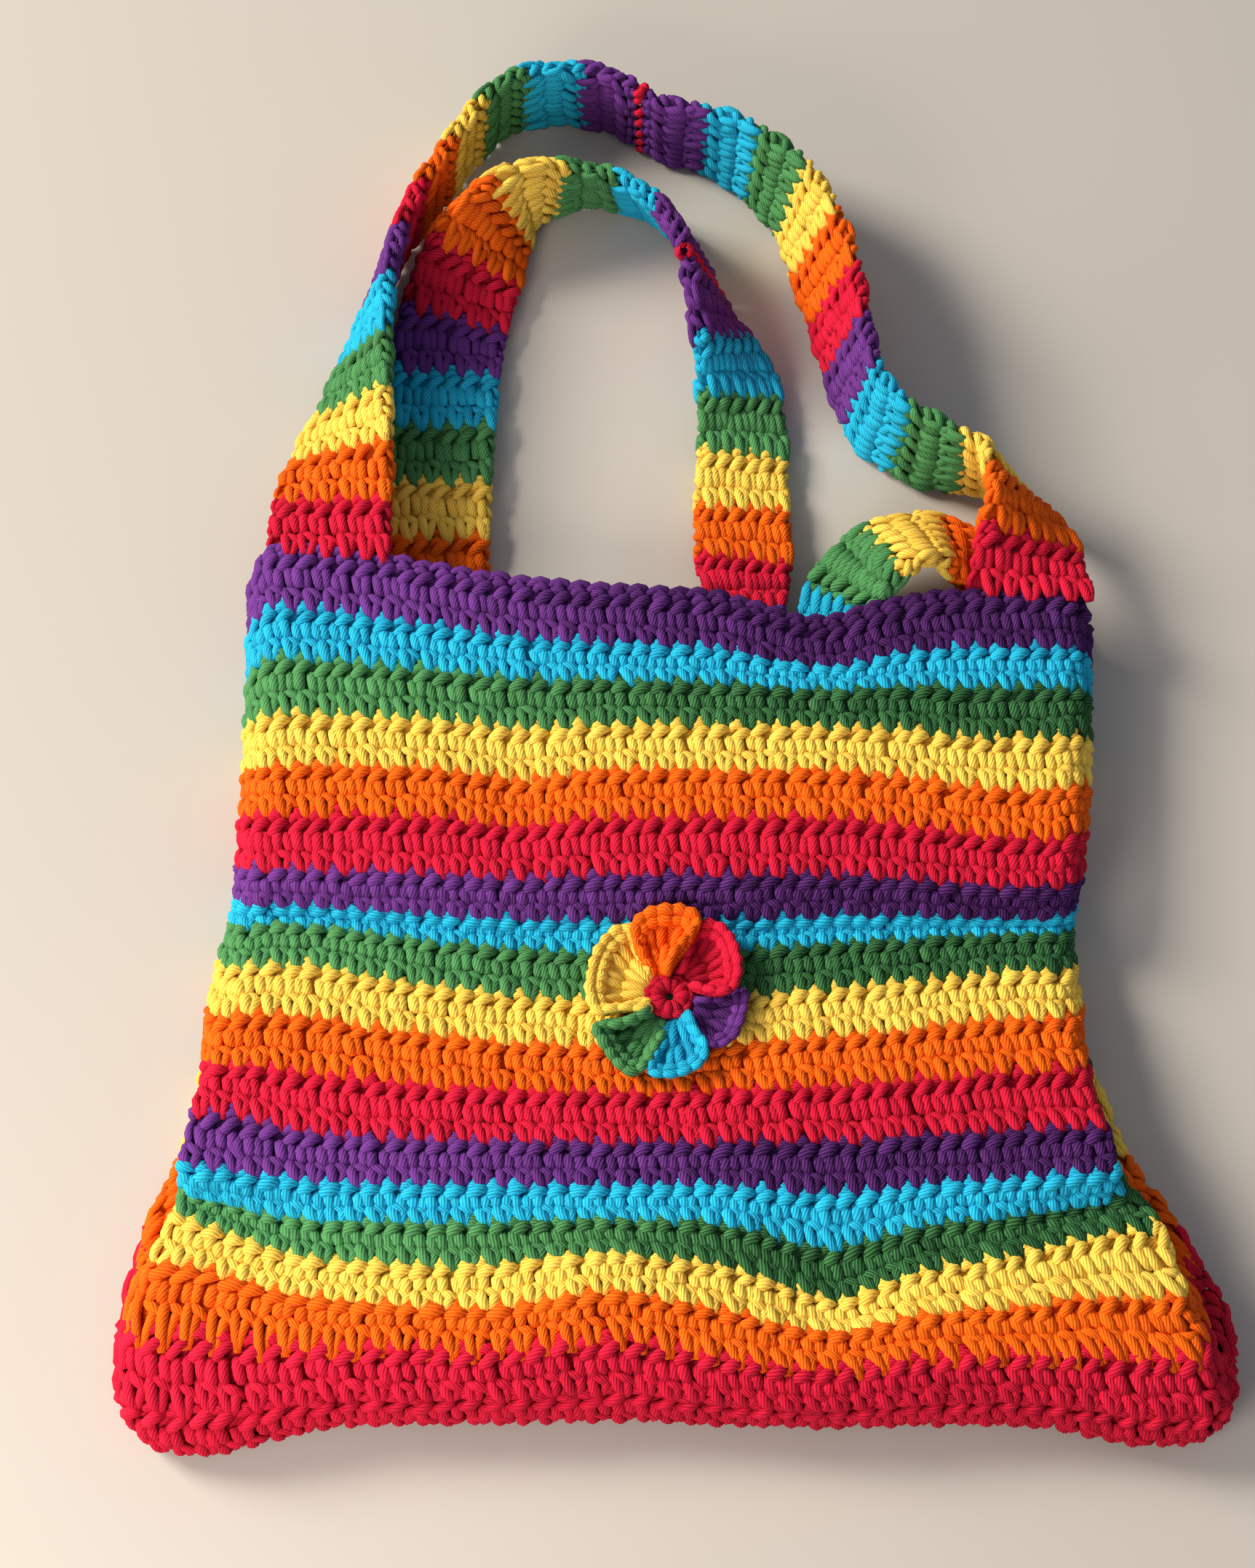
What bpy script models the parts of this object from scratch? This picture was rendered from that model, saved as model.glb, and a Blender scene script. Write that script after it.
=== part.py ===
"""Crocheted rainbow tote bag, lying on its back with both straps laid out behind its mouth.

The bag is a limp bag worked in the round from cotton yarn: eighteen stripes, each a length of
its own colour hooked into the one before, closed by a red bottom. Two long straps are worked in
short bands from each end and sewn together with a red seam in the middle, and a crocheted
flower is sewn to the front. X is the bag's width, Y runs from its bottom edge towards the tops
of the straps, Z is up, and the back panel rests on the floor at Z = 0. Sizes are in metres.
"""
import math

import bmesh
import bpy
import numpy as np

# Fabric
FABRIC = 0.0042            # thickness of the crochet between its rows
ROW_RIDGE = 0.0011         # how far each row of stitches stands proud of that
ROWS_PER_STRIPE = 2
SEAT_GAP = 0.0003          # clearance between pieces that are sewn or hooked together

# Body, along its length: how deep each stripe lies in the folded front panel, rim first
STRIPE_DEPTH = (0.0200, 0.0143, 0.0163, 0.0171, 0.0170, 0.0211, 0.0128, 0.0094, 0.0171,
                0.0177, 0.0174, 0.0190, 0.0154, 0.0120, 0.0132, 0.0143, 0.0119, 0.0190)
STRIPE_COLOURS = ("purple", "blue", "green", "yellow", "orange", "red")
FRONT_RIM_Y = 0.0285       # the front panel's top edge
BACK_RIM_Y = 0.0190        # the back panel's top edge, a little lower
BACK_CLOSE = 15            # down to this stripe the back panel's rows lie closer
BACK_CLOSE_Y = -0.1620
BACK_BOTTOM_Y = -0.2000    # where the red bottom starts on the back panel
NOSE_ROUND = 0.0035        # how far the bottom's seam is rounded under

# Body, across: x of the front panel's side edges, and of the lower layer that shows beside them
EDGE_AT = (0, 4, 8, 9.5, 11, 12, 14, 15, 16, 17, 17.5, 18)
FRONT_RIGHT = (0.1500, 0.1445, 0.1350, 0.1345, 0.1345, 0.1385, 0.1410, 0.1530, 0.1600, 0.1640,
               0.1680, 0.1640)
LOW_RIGHT = (0.1500, 0.1445, 0.1350, 0.1345, 0.1350, 0.1362, 0.1385, 0.1412, 0.1508, 0.1590,
             0.1775, 0.1650)
FRONT_LEFT = (-0.1520, -0.1495, -0.1510, -0.1540, -0.1550, -0.1555, -0.1590, -0.1600, -0.1665,
              -0.1715, -0.1730, -0.1680)
LOW_LEFT = (-0.1520, -0.1495, -0.1510, -0.1540, -0.1560, -0.1565, -0.1580, -0.1588, -0.1640,
            -0.1690, -0.1780, -0.1680)
LEDGE_HEIGHT = 0.0125      # top of the lower layer where it shows beside the front
LOW_Y_AT = (9.5, 12, 15, 16, 17, 17.5, 18)    # where the stripes run on the lower layer
LOW_Y = (-0.0985, -0.1225, -0.1480, -0.1750, -0.1930, -0.2260, -0.2500)
STEP_AT = (9.0, 13.0)      # the side fold turns from a round one into a stepped one
SIDE_ROUND = 0.0120        # radius of the fold along each side

# Body, height of the front panel over the floor, from the rim to the last stripe
HEIGHT_AT = (0, 2, 5, 6.3, 7.6, 9, 11, 13, 15, 16.5, 17)
FRONT_HEIGHT = (0.0300, 0.0290, 0.0285, 0.0270, 0.0185, 0.0230, 0.0280, 0.0310, 0.0300,
                0.0290, 0.0275)
NOSE_HEIGHT = 0.0065       # height of the closed bottom edge

# Folds in the front panel: place across, stripe, half width across, half depth in stripes,
# then how far the stripes run up (+Y) and how far the fabric rises (+Z) at its middle
FOLDS = (
    (-0.146, 0.0, 0.080, 2.6, 0.0190, 0.0),
    (0.052, 0.2, 0.026, 1.6, -0.0105, -0.0020),
    (-0.054, 4.5, 0.018, 1.6, -0.0034, -0.0025),
    (0.119, 4.8, 0.040, 2.2, -0.0087, 0.0),
    (-0.136, 9.3, 0.045, 2.4, 0.0083, 0.0),
    (0.124, 9.8, 0.050, 2.6, 0.0067, -0.0020),
    (-0.016, 9.2, 0.060, 2.4, -0.0047, 0.0),
    (0.048, 15.0, 0.022, 1.6, -0.0094, -0.0050),
    (-0.022, 16.2, 0.026, 1.5, 0.0052, 0.0035),
    (0.134, 15.2, 0.030, 1.2, 0.0050, 0.0),
    (-0.151, 13.0, 0.030, 1.0, 0.0, 0.0035),
    (0.129, 13.0, 0.030, 1.0, 0.0, 0.0035),
    (-0.150, 14.3, 0.045, 0.6, 0.0, -0.0040),
    (0.134, 14.3, 0.045, 0.6, 0.0, -0.0040),
    (-0.165, 15.3, 0.034, 1.9, 0.0160, 0.0),
    (-0.155, 11.9, 0.026, 0.8, 0.0065, 0.0),
    (-0.125, 16.4, 0.050, 0.9, 0.0035, 0.0),
    (0.160, 14.6, 0.040, 1.3, 0.0085, 0.0),
    (0.040, 17.0, 0.030, 0.7, -0.0035, 0.0),
    (-0.152, 18.0, 0.030, 0.7, -0.0115, 0.0),
    (0.150, 18.0, 0.026, 0.8, -0.0070, 0.0),
)
FRONT_COLUMNS = 14
BACK_COLUMNS = 8
SIDE_INSET = 0.0036        # how far the first flat column lies in from a side fold
SIDE_TURN = (75.0, 45.0, 15.0, -15.0, -45.0, -75.0)   # degrees round the side fold

# Stepped side, point by point from the front panel down: share of the way to the lower layer's
# edge and to its row line, and share of the way to the back panel's line on a plain side fold
LEDGE_SHARE = (0.0, 0.0, 0.4, 0.8, 1.0, 1.0)
LEDGE_SHIFT = (-0.0030, 0.0005, 0.0, 0.0, 0.0, -0.0042)
RISE_SHARE = (0.05, 0.2, 0.55, 0.9, 1.0, 1.0)
BACK_SHARE = (0.0, 0.1, 0.3, 0.5, 0.7, 0.85)
BACK_FILLET = 0.15         # share of the half width over which the back rows straighten

# Straps: width, thickness and how many bands each half has
STRAP_WIDTH = 0.0460
STRAP_BANDS = 12
STATIONS_PER_BAND = 4
STRAP_EDGE = 0.0020        # how far the long edges are rounded
SEAM_WIDTH = 0.0042
BAND_COLOURS = ("red", "orange", "yellow", "green", "blue", "purple")
FRONT_STRAP_INSET = (0.0280, 0.0220)   # its roots' middles, in from the body's side edges
BACK_STRAP_INSET = (0.0650, 0.0260)

# Straps as they lie: x and y of the middle line, how far the lower edge is off the floor, roll
# in degrees (0 flat, 90 on edge with the inner edge up, negative with the outer edge up) and
# share of the full width, which is less where the strap is gathered. The roots at both ends
# are worked out from the rims.
FRONT_STRAP_ROUTE = (
    (-0.1240, 0.0720, 0.0200, 8, 1.00),
    (-0.1220, 0.0970, 0.0085, 30, 1.00),
    (-0.1190, 0.1210, 0.0030, 46, 0.98),
    (-0.1150, 0.1470, 0.0010, 62, 0.96),
    (-0.1110, 0.1690, 0.0005, 72, 0.94),
    (-0.1020, 0.1990, 0.0005, 78, 0.88),
    (-0.0910, 0.2180, 0.0005, 82, 0.84),
    (-0.0780, 0.2420, 0.0005, 84, 0.82),
    (-0.0640, 0.2580, 0.0005, 85, 0.80),
    (-0.0460, 0.2630, 0.0005, 86, 0.80),
    (-0.0240, 0.2605, 0.0005, 87, 0.82),
    (-0.0040, 0.2475, 0.0005, 88, 0.84),
    (0.0180, 0.2405, 0.0005, 92, 0.86),
    (0.0340, 0.2290, 0.0005, 98, 0.90),
    (0.0500, 0.2090, 0.0005, 105, 0.94),
    (0.0570, 0.1880, 0.0005, 110, 0.98),
    (0.0640, 0.1620, 0.0005, 110, 0.96),
    (0.0680, 0.1380, 0.0005, 106, 0.94),
    (0.0735, 0.1150, 0.0005, 102, 0.94),
    (0.0840, 0.1010, 0.0005, 98, 0.94),
    (0.1010, 0.0910, 0.0010, 92, 0.94),
    (0.1190, 0.0830, 0.0030, 76, 0.94),
    (0.1290, 0.0620, 0.0125, 40, 0.96),
)
BACK_STRAP_ROUTE = (
    (-0.0895, 0.0480, 0.0003, 1, 1.00),
    (-0.0900, 0.0700, 0.0003, 2, 1.00),
    (-0.0885, 0.1110, 0.0003, 3, 0.98),
    (-0.0850, 0.1580, 0.0003, -8, 0.96),
    (-0.0750, 0.1880, 0.0003, -32, 0.94),
    (-0.0590, 0.2100, 0.0003, -66, 0.92),
    (-0.0400, 0.2195, 0.0005, -92, 0.90),
    (-0.0200, 0.2180, 0.0005, -104, 0.90),
    (-0.0020, 0.2050, 0.0005, -108, 0.90),
    (0.0100, 0.1820, 0.0005, -110, 0.90),
    (0.0170, 0.1580, 0.0005, -118, 0.90),
    (0.0250, 0.1370, 0.0005, -136, 0.88),
    (0.0280, 0.1120, 0.0005, -152, 0.86),
    (0.0270, 0.0860, 0.0010, -162, 0.86),
    (0.0270, 0.0600, 0.0035, -168, 0.84),
    (0.0270, 0.0410, 0.0064, -172, 0.74),
    (0.0310, 0.0250, 0.0084, -174, 0.54),
    (0.0430, 0.0150, 0.0089, -174, 0.48),
    (0.0550, 0.0190, 0.0086, -170, 0.52),
    (0.0620, 0.0320, 0.0094, -166, 0.70),
    (0.0700, 0.0430, 0.0105, -150, 0.84),
    (0.0850, 0.0520, 0.0140, -146, 0.84),
    (0.1020, 0.0520, 0.0095, -150, 0.84),
    (0.1170, 0.0430, 0.0042, -166, 0.84),
)

# Flower sewn to the front
FLOWER_X = -0.0030
FLOWER_Y = -0.1205
FLOWER_RADIUS = 0.0278
FLOWER_CENTRE_RADIUS = 0.0095
FLOWER_HOLE_RADIUS = 0.0016
PETAL_COUNT = 6
PETAL_THICK = 0.0036
PETAL_LIFT = 0.0045        # how far each petal's rolled edge stands above its root
PETAL_START = 95.0         # degrees, the middle of the first petal
PETAL_SCALLOP = 0.10       # how much shorter a petal is at its corners
PETAL_GRID = 5
PETAL_CLEAR = 0.0004       # added to the seat gap, because the rows under a petal are not flat
CENTRE_CROWN = 0.0008      # rise of the flower's centre round its eye
CENTRE_SEGMENTS = 16
PETAL_COLOURS = ("orange", "yellow", "green", "blue", "purple", "red")

# Yarn colours as linear values, all matt cotton
YARN = {
    "purple": (0.105, 0.022, 0.245),
    "blue": (0.010, 0.420, 0.700),
    "green": (0.040, 0.240, 0.075),
    "yellow": (0.900, 0.600, 0.060),
    "orange": (0.950, 0.150, 0.006),
    "red": (0.620, 0.006, 0.022),
}
YARN_ROUGHNESS = 0.9


def yarn_material(colour):
    """Material of one cotton yarn, made once."""
    name = "cotton_yarn_" + colour
    found = bpy.data.materials.get(name)
    if found:
        return found
    material = bpy.data.materials.new(name)
    material.use_nodes = True
    shader = material.node_tree.nodes["Principled BSDF"]
    shader.inputs["Base Color"].default_value = (*YARN[colour], 1.0)
    shader.inputs["Roughness"].default_value = YARN_ROUGHNESS
    shader.inputs["Metallic"].default_value = 0.0
    material.diffuse_color = (*YARN[colour], 1.0)
    return material


def bump(distance, width):
    """Bell curve of height 1 for a fold."""
    return np.exp(-(distance / width) ** 2)


def folds(x, stripe, column):
    """Sum of the folds' effect (column 4 runs along Y, column 5 lifts the fabric)."""
    total = np.zeros_like(np.asarray(x, float))
    for fold in FOLDS:
        total += fold[column] * bump(x - fold[0], fold[2]) * bump(stripe - fold[1], fold[3])
    return total


def stripe_y(stripe):
    """Distance along Y of the front panel's middle at a stripe number, 0 at the rim."""
    edges = FRONT_RIM_Y - np.concatenate([[0.0], np.cumsum(STRIPE_DEPTH)])
    return np.interp(stripe, np.arange(len(edges)), edges)


def nose(stripe):
    """Angle of the turn at the bottom: 0 until the last stripe, a quarter turn at its end."""
    return 0.5 * math.pi * max(0.0, stripe - (len(STRIPE_DEPTH) - 1))


def front_y(x, stripe):
    """Y of the front panel."""
    last = len(STRIPE_DEPTH) - 1
    middle = stripe_y(min(stripe, last))
    middle -= STRIPE_DEPTH[last] * math.sin(nose(stripe))
    return middle + folds(x, stripe, 4)


def front_z(x, stripe):
    """Height of the front panel's outer face."""
    height = np.interp(stripe, HEIGHT_AT, FRONT_HEIGHT) + folds(x, stripe, 5)
    return NOSE_HEIGHT + (height - NOSE_HEIGHT) * math.cos(nose(stripe))


def back_y(stripe):
    """Y of the back panel, whose rows lie closer because the red bottom folds under it."""
    last = len(STRIPE_DEPTH) - 1
    bottom = stripe_y(last) - STRIPE_DEPTH[last] + NOSE_ROUND
    return np.interp(stripe, (0, BACK_CLOSE, last, last + 1),
                     (BACK_RIM_Y, BACK_CLOSE_Y, BACK_BOTTOM_Y, bottom))


def side_points(stripe, side):
    """Points round one side fold, from the front panel down to the back panel.

    A plain round fold is blended towards a stepped one where the lower layer shows.
    """
    fronts, lows = (FRONT_RIGHT, LOW_RIGHT) if side > 0.0 else (FRONT_LEFT, LOW_LEFT)
    front_edge = float(np.interp(stripe, EDGE_AT, fronts))
    edge = float(np.interp(stripe, EDGE_AT, lows))
    ledge = side * (edge - front_edge)
    height = float(front_z(np.array([front_edge]), stripe)[0])
    step = float(np.interp(stripe, STEP_AT, (0.0, 1.0))) * math.cos(nose(stripe))
    low = min(LEDGE_HEIGHT, height)
    radius = min(SIDE_ROUND, 0.5 * height)
    turn = np.radians(SIDE_TURN)
    plain_x = edge - side * radius * (1.0 - np.cos(turn))
    plain_z = 0.5 * height * (1.0 + np.sin(turn))
    step_x = front_edge + side * (ledge * np.array(LEDGE_SHARE) + np.array(LEDGE_SHIFT))
    step_z = np.array([height - ROW_RIDGE, 0.5 * (height + low), low, 0.92 * low, 0.48 * low,
                       0.03 * low])
    x = plain_x + step * (step_x - plain_x)
    z = plain_z + step * (step_z - plain_z)
    start = float(front_y(np.array([front_edge]), stripe)[0])
    rise = float(np.interp(stripe, LOW_Y_AT, LOW_Y)) - start
    y = start + np.array(RISE_SHARE) * rise * step
    y += np.array(BACK_SHARE) * (1.0 - step) * (back_y(stripe) - start)
    return np.stack([x, y, z], 1)


def ring(stripe):
    """Closed ring of points round the body at a stripe number, seen from the mouth.

    It runs along the front panel from left to right, round the right side fold, back along
    the back panel and round the left side fold.
    """
    right = side_points(stripe, 1.0)
    left = side_points(stripe, -1.0)
    half = 0.5 * (right[-1, 0] - left[-1, 0])
    centre = 0.5 * (right[-1, 0] + left[-1, 0])
    front_x = np.linspace(left[0, 0] + SIDE_INSET, right[0, 0] - SIDE_INSET, FRONT_COLUMNS)
    front = np.stack([front_x, front_y(front_x, stripe), front_z(front_x, stripe)], 1)
    back_inset = 2.0 * SIDE_INSET
    back_x = np.linspace(right[-1, 0] - back_inset, left[-1, 0] + back_inset, BACK_COLUMNS)
    inward = np.minimum(back_x - back_x[-1], back_x[0] - back_x) / (BACK_FILLET * half)
    ends = np.where(back_x > centre, right[-1, 1], left[-1, 1])
    blend = np.clip(inward, 0.25, 1.0)
    back_line = ends + blend * (back_y(stripe) - ends)
    back = np.stack([back_x, back_line, np.zeros_like(back_x)], 1)
    return np.concatenate([front, right, back, left[::-1]])


def ring_frame(stripe):
    """Ring with its outward normals and its in-surface direction towards the bottom."""
    step = 0.02
    last = len(STRIPE_DEPTH)
    here = ring(stripe)
    along = ring(min(stripe + step, last)) - ring(max(stripe - step, 0.0))
    around = np.roll(here, -1, 0) - np.roll(here, 1, 0)
    normal = np.cross(along, around)
    normal /= np.linalg.norm(normal, axis=1, keepdims=True)
    down = np.cross(around, normal)
    down /= np.linalg.norm(down, axis=1, keepdims=True)
    return here, normal, down


def resting(points):
    """Share of the full row ridge at each point: none where the back lies on the floor."""
    return np.clip(points[:, 2] / LEDGE_HEIGHT, 0.0, 1.0)


def link(bm, first, second):
    """Skin of quads between two closed rows of vertices."""
    count = len(first)
    for i in range(count):
        j = (i + 1) % count
        bm.faces.new((first[i], second[i], second[j], first[j]))


def wall(bm, outside, inside, flip):
    """Edge of the fabric between its outer and inner rows, cut the same way on neighbours."""
    count = len(outside)
    for i in range(count):
        j = (i + 1) % count
        for corners in ((outside[i], outside[j], inside[j]), (outside[i], inside[j], inside[i])):
            bm.faces.new(corners[::-1] if flip else corners)


def finish_object(name, bm, colours, collection):
    """Turn a bmesh into a named object with its yarn materials."""
    bmesh.ops.recalc_face_normals(bm, faces=bm.faces)
    mesh = bpy.data.meshes.new(name)
    bm.to_mesh(mesh)
    bm.free()
    for colour in colours:
        mesh.materials.append(yarn_material(colour))
    mesh.shade_smooth()
    mesh.set_sharp_from_angle(angle=math.radians(50))
    item = bpy.data.objects.new(name, mesh)
    collection.objects.link(item)
    return item


def stripe_band(index, collection):
    """One stripe of the body: a ring of fabric, or a closed end for the last one."""
    count = len(STRIPE_DEPTH)
    closed = index == count - 1
    colour = STRIPE_COLOURS[index % len(STRIPE_COLOURS)]
    stations = 2 * ROWS_PER_STRIPE
    bm = bmesh.new()
    outer = []
    inner = []
    for k in range(stations + 1):
        points, normal, down = ring_frame(index + k / stations)
        inner_points = points - FABRIC * normal
        edge = 0.0
        if k == 0 and index > 0:
            edge = 0.5 * SEAT_GAP
        if k == stations and not closed:
            edge = -0.5 * SEAT_GAP
        ridge = ROW_RIDGE * (k % 2) * resting(points)
        points = points + edge * down + ridge[:, None] * normal
        outer.append([bm.verts.new(p) for p in points])
        if k == 0 or (k == stations and not closed):
            inner.append([bm.verts.new(p) for p in inner_points + edge * down])
    if closed:
        points, normal, down = ring_frame(index + 0.6)
        inner.append([bm.verts.new(p) for p in points - FABRIC * normal])
    for first, second in zip(outer, outer[1:]):
        link(bm, first, second)
    link(bm, inner[1], inner[0])
    wall(bm, outer[0], inner[0], False)
    if closed:
        bm.faces.new(outer[-1])
        bm.faces.new(inner[-1][::-1])
    else:
        wall(bm, outer[-1], inner[1], True)
    bmesh.ops.triangulate(bm, faces=[f for f in bm.faces if len(f.verts) > 4])
    name = "body_{}_{}".format(colour, 1 + index // len(STRIPE_COLOURS))
    return finish_object(name, bm, (colour,), collection)


def smooth_route(points, samples):
    """Points spaced evenly by length on a smooth curve (cubic through every point)."""
    tangent = np.gradient(points, axis=0)
    fine = []
    for i in range(len(points) - 1):
        t = np.linspace(0.0, 1.0, 16, endpoint=False)[:, None]
        a, b = points[i], points[i + 1]
        fine.append((2 * t ** 3 - 3 * t ** 2 + 1) * a + (t ** 3 - 2 * t ** 2 + t) * tangent[i]
                    + (3 * t ** 2 - 2 * t ** 3) * b + (t ** 3 - t ** 2) * tangent[i + 1])
    fine = np.concatenate(fine + [points[-1:]])
    length = np.concatenate([[0.0], np.cumsum(np.linalg.norm(np.diff(fine[:, :3], axis=0),
                                                             axis=1))])
    where = np.asarray(samples) * length[-1]
    return np.stack([np.interp(where, length, fine[:, k]) for k in range(5)], 1), length[-1]


def rim_point(x, front):
    """Furthest Y of the fabric's edge and its middle height on a rim, at a place across."""
    points, normal, down = ring_frame(0.0)
    inside = points - FABRIC * normal
    side = len(SIDE_TURN)
    columns = np.arange(len(points))
    if front:
        chosen = (columns < FRONT_COLUMNS + side // 2) | (columns >= len(points) - side // 2)
    else:
        start = FRONT_COLUMNS + side // 2
        chosen = (columns >= start) & (columns < len(points) - side // 2)
    found = []
    for line in (points[chosen], inside[chosen]):
        line = line[np.argsort(line[:, 0])]
        found.append([float(np.interp(x, line[:, 0], line[:, k])) for k in (1, 2)])
    return max(found[0][0], found[1][0]), 0.5 * (found[0][1] + found[1][1])


def root_station(x, half, front, roll):
    """Strap root seated on a rim, and the direction in which the strap leaves it."""
    shares = np.linspace(-1.0, 1.0, 9)
    reach = np.array([rim_point(x + half * share, front) for share in shares])
    slope = (reach[-1, 0] - reach[0, 0]) / (2.0 * half)
    above = reach[:, 0] - slope * half * shares
    z = max(reach[4, 1], 0.5 * FABRIC + ROW_RIDGE)
    leave = np.array([-slope, 1.0, 0.0]) / math.hypot(1.0, slope)
    return (x, float(above.max()) + SEAT_GAP, z, roll, 1.0), leave


def strap_stations(route, insets, front, end_roll):
    """All stations of a strap: position, width direction and thickness direction."""
    left, leave = root_station(LOW_LEFT[0] + insets[0], 0.5 * STRAP_WIDTH, front, 0.0)
    right, arrive = root_station(LOW_RIGHT[0] - insets[1], 0.5 * STRAP_WIDTH, front, end_roll)
    points = np.array((left,) + route + (right,))
    roll = np.radians(points[1:-1, 3])
    points[1:-1, 2] += 0.5 * STRAP_WIDTH * points[1:-1, 4] * np.abs(np.sin(roll))
    points[1:-1, 2] += (0.5 * FABRIC + ROW_RIDGE) * np.abs(np.cos(roll))
    steps = STATIONS_PER_BAND * STRAP_BANDS
    length = smooth_route(points, [0.0, 1.0])[1]
    seam = 0.5 * SEAM_WIDTH / length
    gap = SEAT_GAP / length
    left_half = np.linspace(0.0, 0.5 - seam - gap, steps + 1)
    seam_part = np.array([0.5 - seam, 0.5, 0.5 + seam])
    right_half = np.linspace(0.5 + seam + gap, 1.0, steps + 1)
    samples = np.concatenate([left_half, seam_part, right_half])
    data = smooth_route(points, samples)[0]
    reach = FABRIC / length
    ahead = smooth_route(points, np.clip(samples + reach, 0.0, 1.0))[0][:, :3]
    behind = smooth_route(points, np.clip(samples - reach, 0.0, 1.0))[0][:, :3]
    tangent = ahead - behind
    tangent /= np.linalg.norm(tangent, axis=1, keepdims=True)
    tangent[0] = leave
    tangent[-1] = -arrive
    up = np.array([0.0, 0.0, 1.0])
    level = np.cross(tangent, up)
    level /= np.linalg.norm(level, axis=1, keepdims=True)
    lift = np.cross(level, tangent)
    roll = np.radians(data[:, 3])[:, None]
    across = np.cos(roll) * level + np.sin(roll) * lift
    face = np.cross(across, tangent)
    return data[:, :3], across, face, data[:, 4], steps


def strap_section(middle, across, face, width, thick):
    """Six-sided section of the strap, thin at its rounded long edges."""
    half = 0.5 * width
    flat = half - STRAP_EDGE
    places = ((half, 0.0), (flat, 0.5), (-flat, 0.5), (-half, 0.0), (-flat, -0.5), (flat, -0.5))
    return [middle + a * across + b * thick * face for a, b in places]


def strap_part(name, rows, stations, colours, collection):
    """Solid strap piece through the given rows of stations, coloured band by band."""
    middle, across, face, share = stations[:4]
    bm = bmesh.new()
    loops = []
    for k, row in enumerate(rows):
        ridge = ROW_RIDGE * (k % 2 if len(rows) > 3 else 1)
        points = strap_section(middle[row], across[row], face[row],
                               STRAP_WIDTH * share[row], FABRIC + 2.0 * ridge)
        loops.append([bm.verts.new(p) for p in points])
    for k in range(len(loops) - 1):
        before = set(bm.faces)
        link(bm, loops[k], loops[k + 1])
        for face_item in set(bm.faces) - before:
            face_item.material_index = (k // STATIONS_PER_BAND) % len(colours)
    bm.faces.new(loops[0][::-1])
    last_band = (len(loops) - 2) // STATIONS_PER_BAND
    bm.faces.new(loops[-1]).material_index = last_band % len(colours)
    return finish_object(name, bm, colours, collection)


def strap(label, route, insets, front, end_roll, collection):
    """Both halves of one strap and the red seam that joins them."""
    stations = strap_stations(route, insets, front, end_roll)
    steps = stations[-1]
    left_rows = range(steps + 1)
    seam_rows = range(steps + 1, steps + 4)
    right_rows = range(steps + 4, 2 * steps + 5)
    strap_part(label + "_strap_left", left_rows, stations, BAND_COLOURS, collection)
    strap_part(label + "_strap_seam", seam_rows, stations, ("red",), collection)
    strap_part(label + "_strap_right", right_rows, stations, BAND_COLOURS[::-1], collection)


def front_height_at(x, y):
    """Height of the front panel's ridges over a point of the plan."""
    samples = 20 * len(STRIPE_DEPTH)
    stripes = np.linspace(0.0, len(STRIPE_DEPTH) - 1.0, samples)
    place = np.array([float(front_y(np.array([x]), s)[0]) for s in stripes])
    stripe = float(np.interp(-y, -place, stripes))
    return float(front_z(np.array([x]), stripe)[0]) + ROW_RIDGE


def pad(name, outline, colour, thick, collection):
    """Thin closed pad from a grid of (x, y, height) points laid over the front panel."""
    rows, columns = outline.shape[:2]
    bm = bmesh.new()
    top = []
    bottom = []
    for i in range(rows):
        for layer, lift in ((bottom, 0.0), (top, thick)):
            line = []
            for x, y, rise in outline[i]:
                base = front_height_at(x, y) + SEAT_GAP + PETAL_CLEAR
                line.append(bm.verts.new((x, y, base + rise + lift)))
            layer.append(line)
    for layer, flip in ((top, False), (bottom, True)):
        for i in range(rows - 1):
            for j in range(columns - 1):
                quad = [layer[i][j], layer[i][j + 1], layer[i + 1][j + 1], layer[i + 1][j]]
                bm.faces.new(quad[::-1] if flip else quad)
    sides = [[(0, j) for j in range(columns)], [(rows - 1, j) for j in range(columns)][::-1],
             [(i, 0) for i in range(rows)][::-1], [(i, columns - 1) for i in range(rows)]]
    for side in sides:
        for (i, j), (k, m) in zip(side, side[1:]):
            bm.faces.new((top[i][j], bottom[i][j], bottom[k][m], top[k][m]))
    return finish_object(name, bm, (colour,), collection)


def petal(index, collection):
    """One petal: a fan-shaped pad whose outer edge rolls up."""
    colour = PETAL_COLOURS[index]
    middle = math.radians(PETAL_START + 360.0 / PETAL_COUNT * index)
    half = math.pi / PETAL_COUNT
    inner = FLOWER_CENTRE_RADIUS + SEAT_GAP
    outline = np.zeros((PETAL_GRID, PETAL_GRID, 3))
    for i, along in enumerate(np.linspace(0.0, 1.0, PETAL_GRID)):
        radius = inner + (FLOWER_RADIUS - inner) * along
        spread = half - 0.5 * SEAT_GAP / (radius * math.cos(half))
        for j, turn in enumerate(np.linspace(-1.0, 1.0, PETAL_GRID)):
            scallop = 1.0 - PETAL_SCALLOP * along * turn ** 4
            angle = middle + spread * turn
            outline[i, j, 0] = FLOWER_X + radius * scallop * math.cos(angle)
            outline[i, j, 1] = FLOWER_Y + radius * scallop * math.sin(angle)
            outline[i, j, 2] = PETAL_LIFT * along ** 2
    return pad("flower_petal_" + colour, outline, colour, PETAL_THICK, collection)


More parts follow.
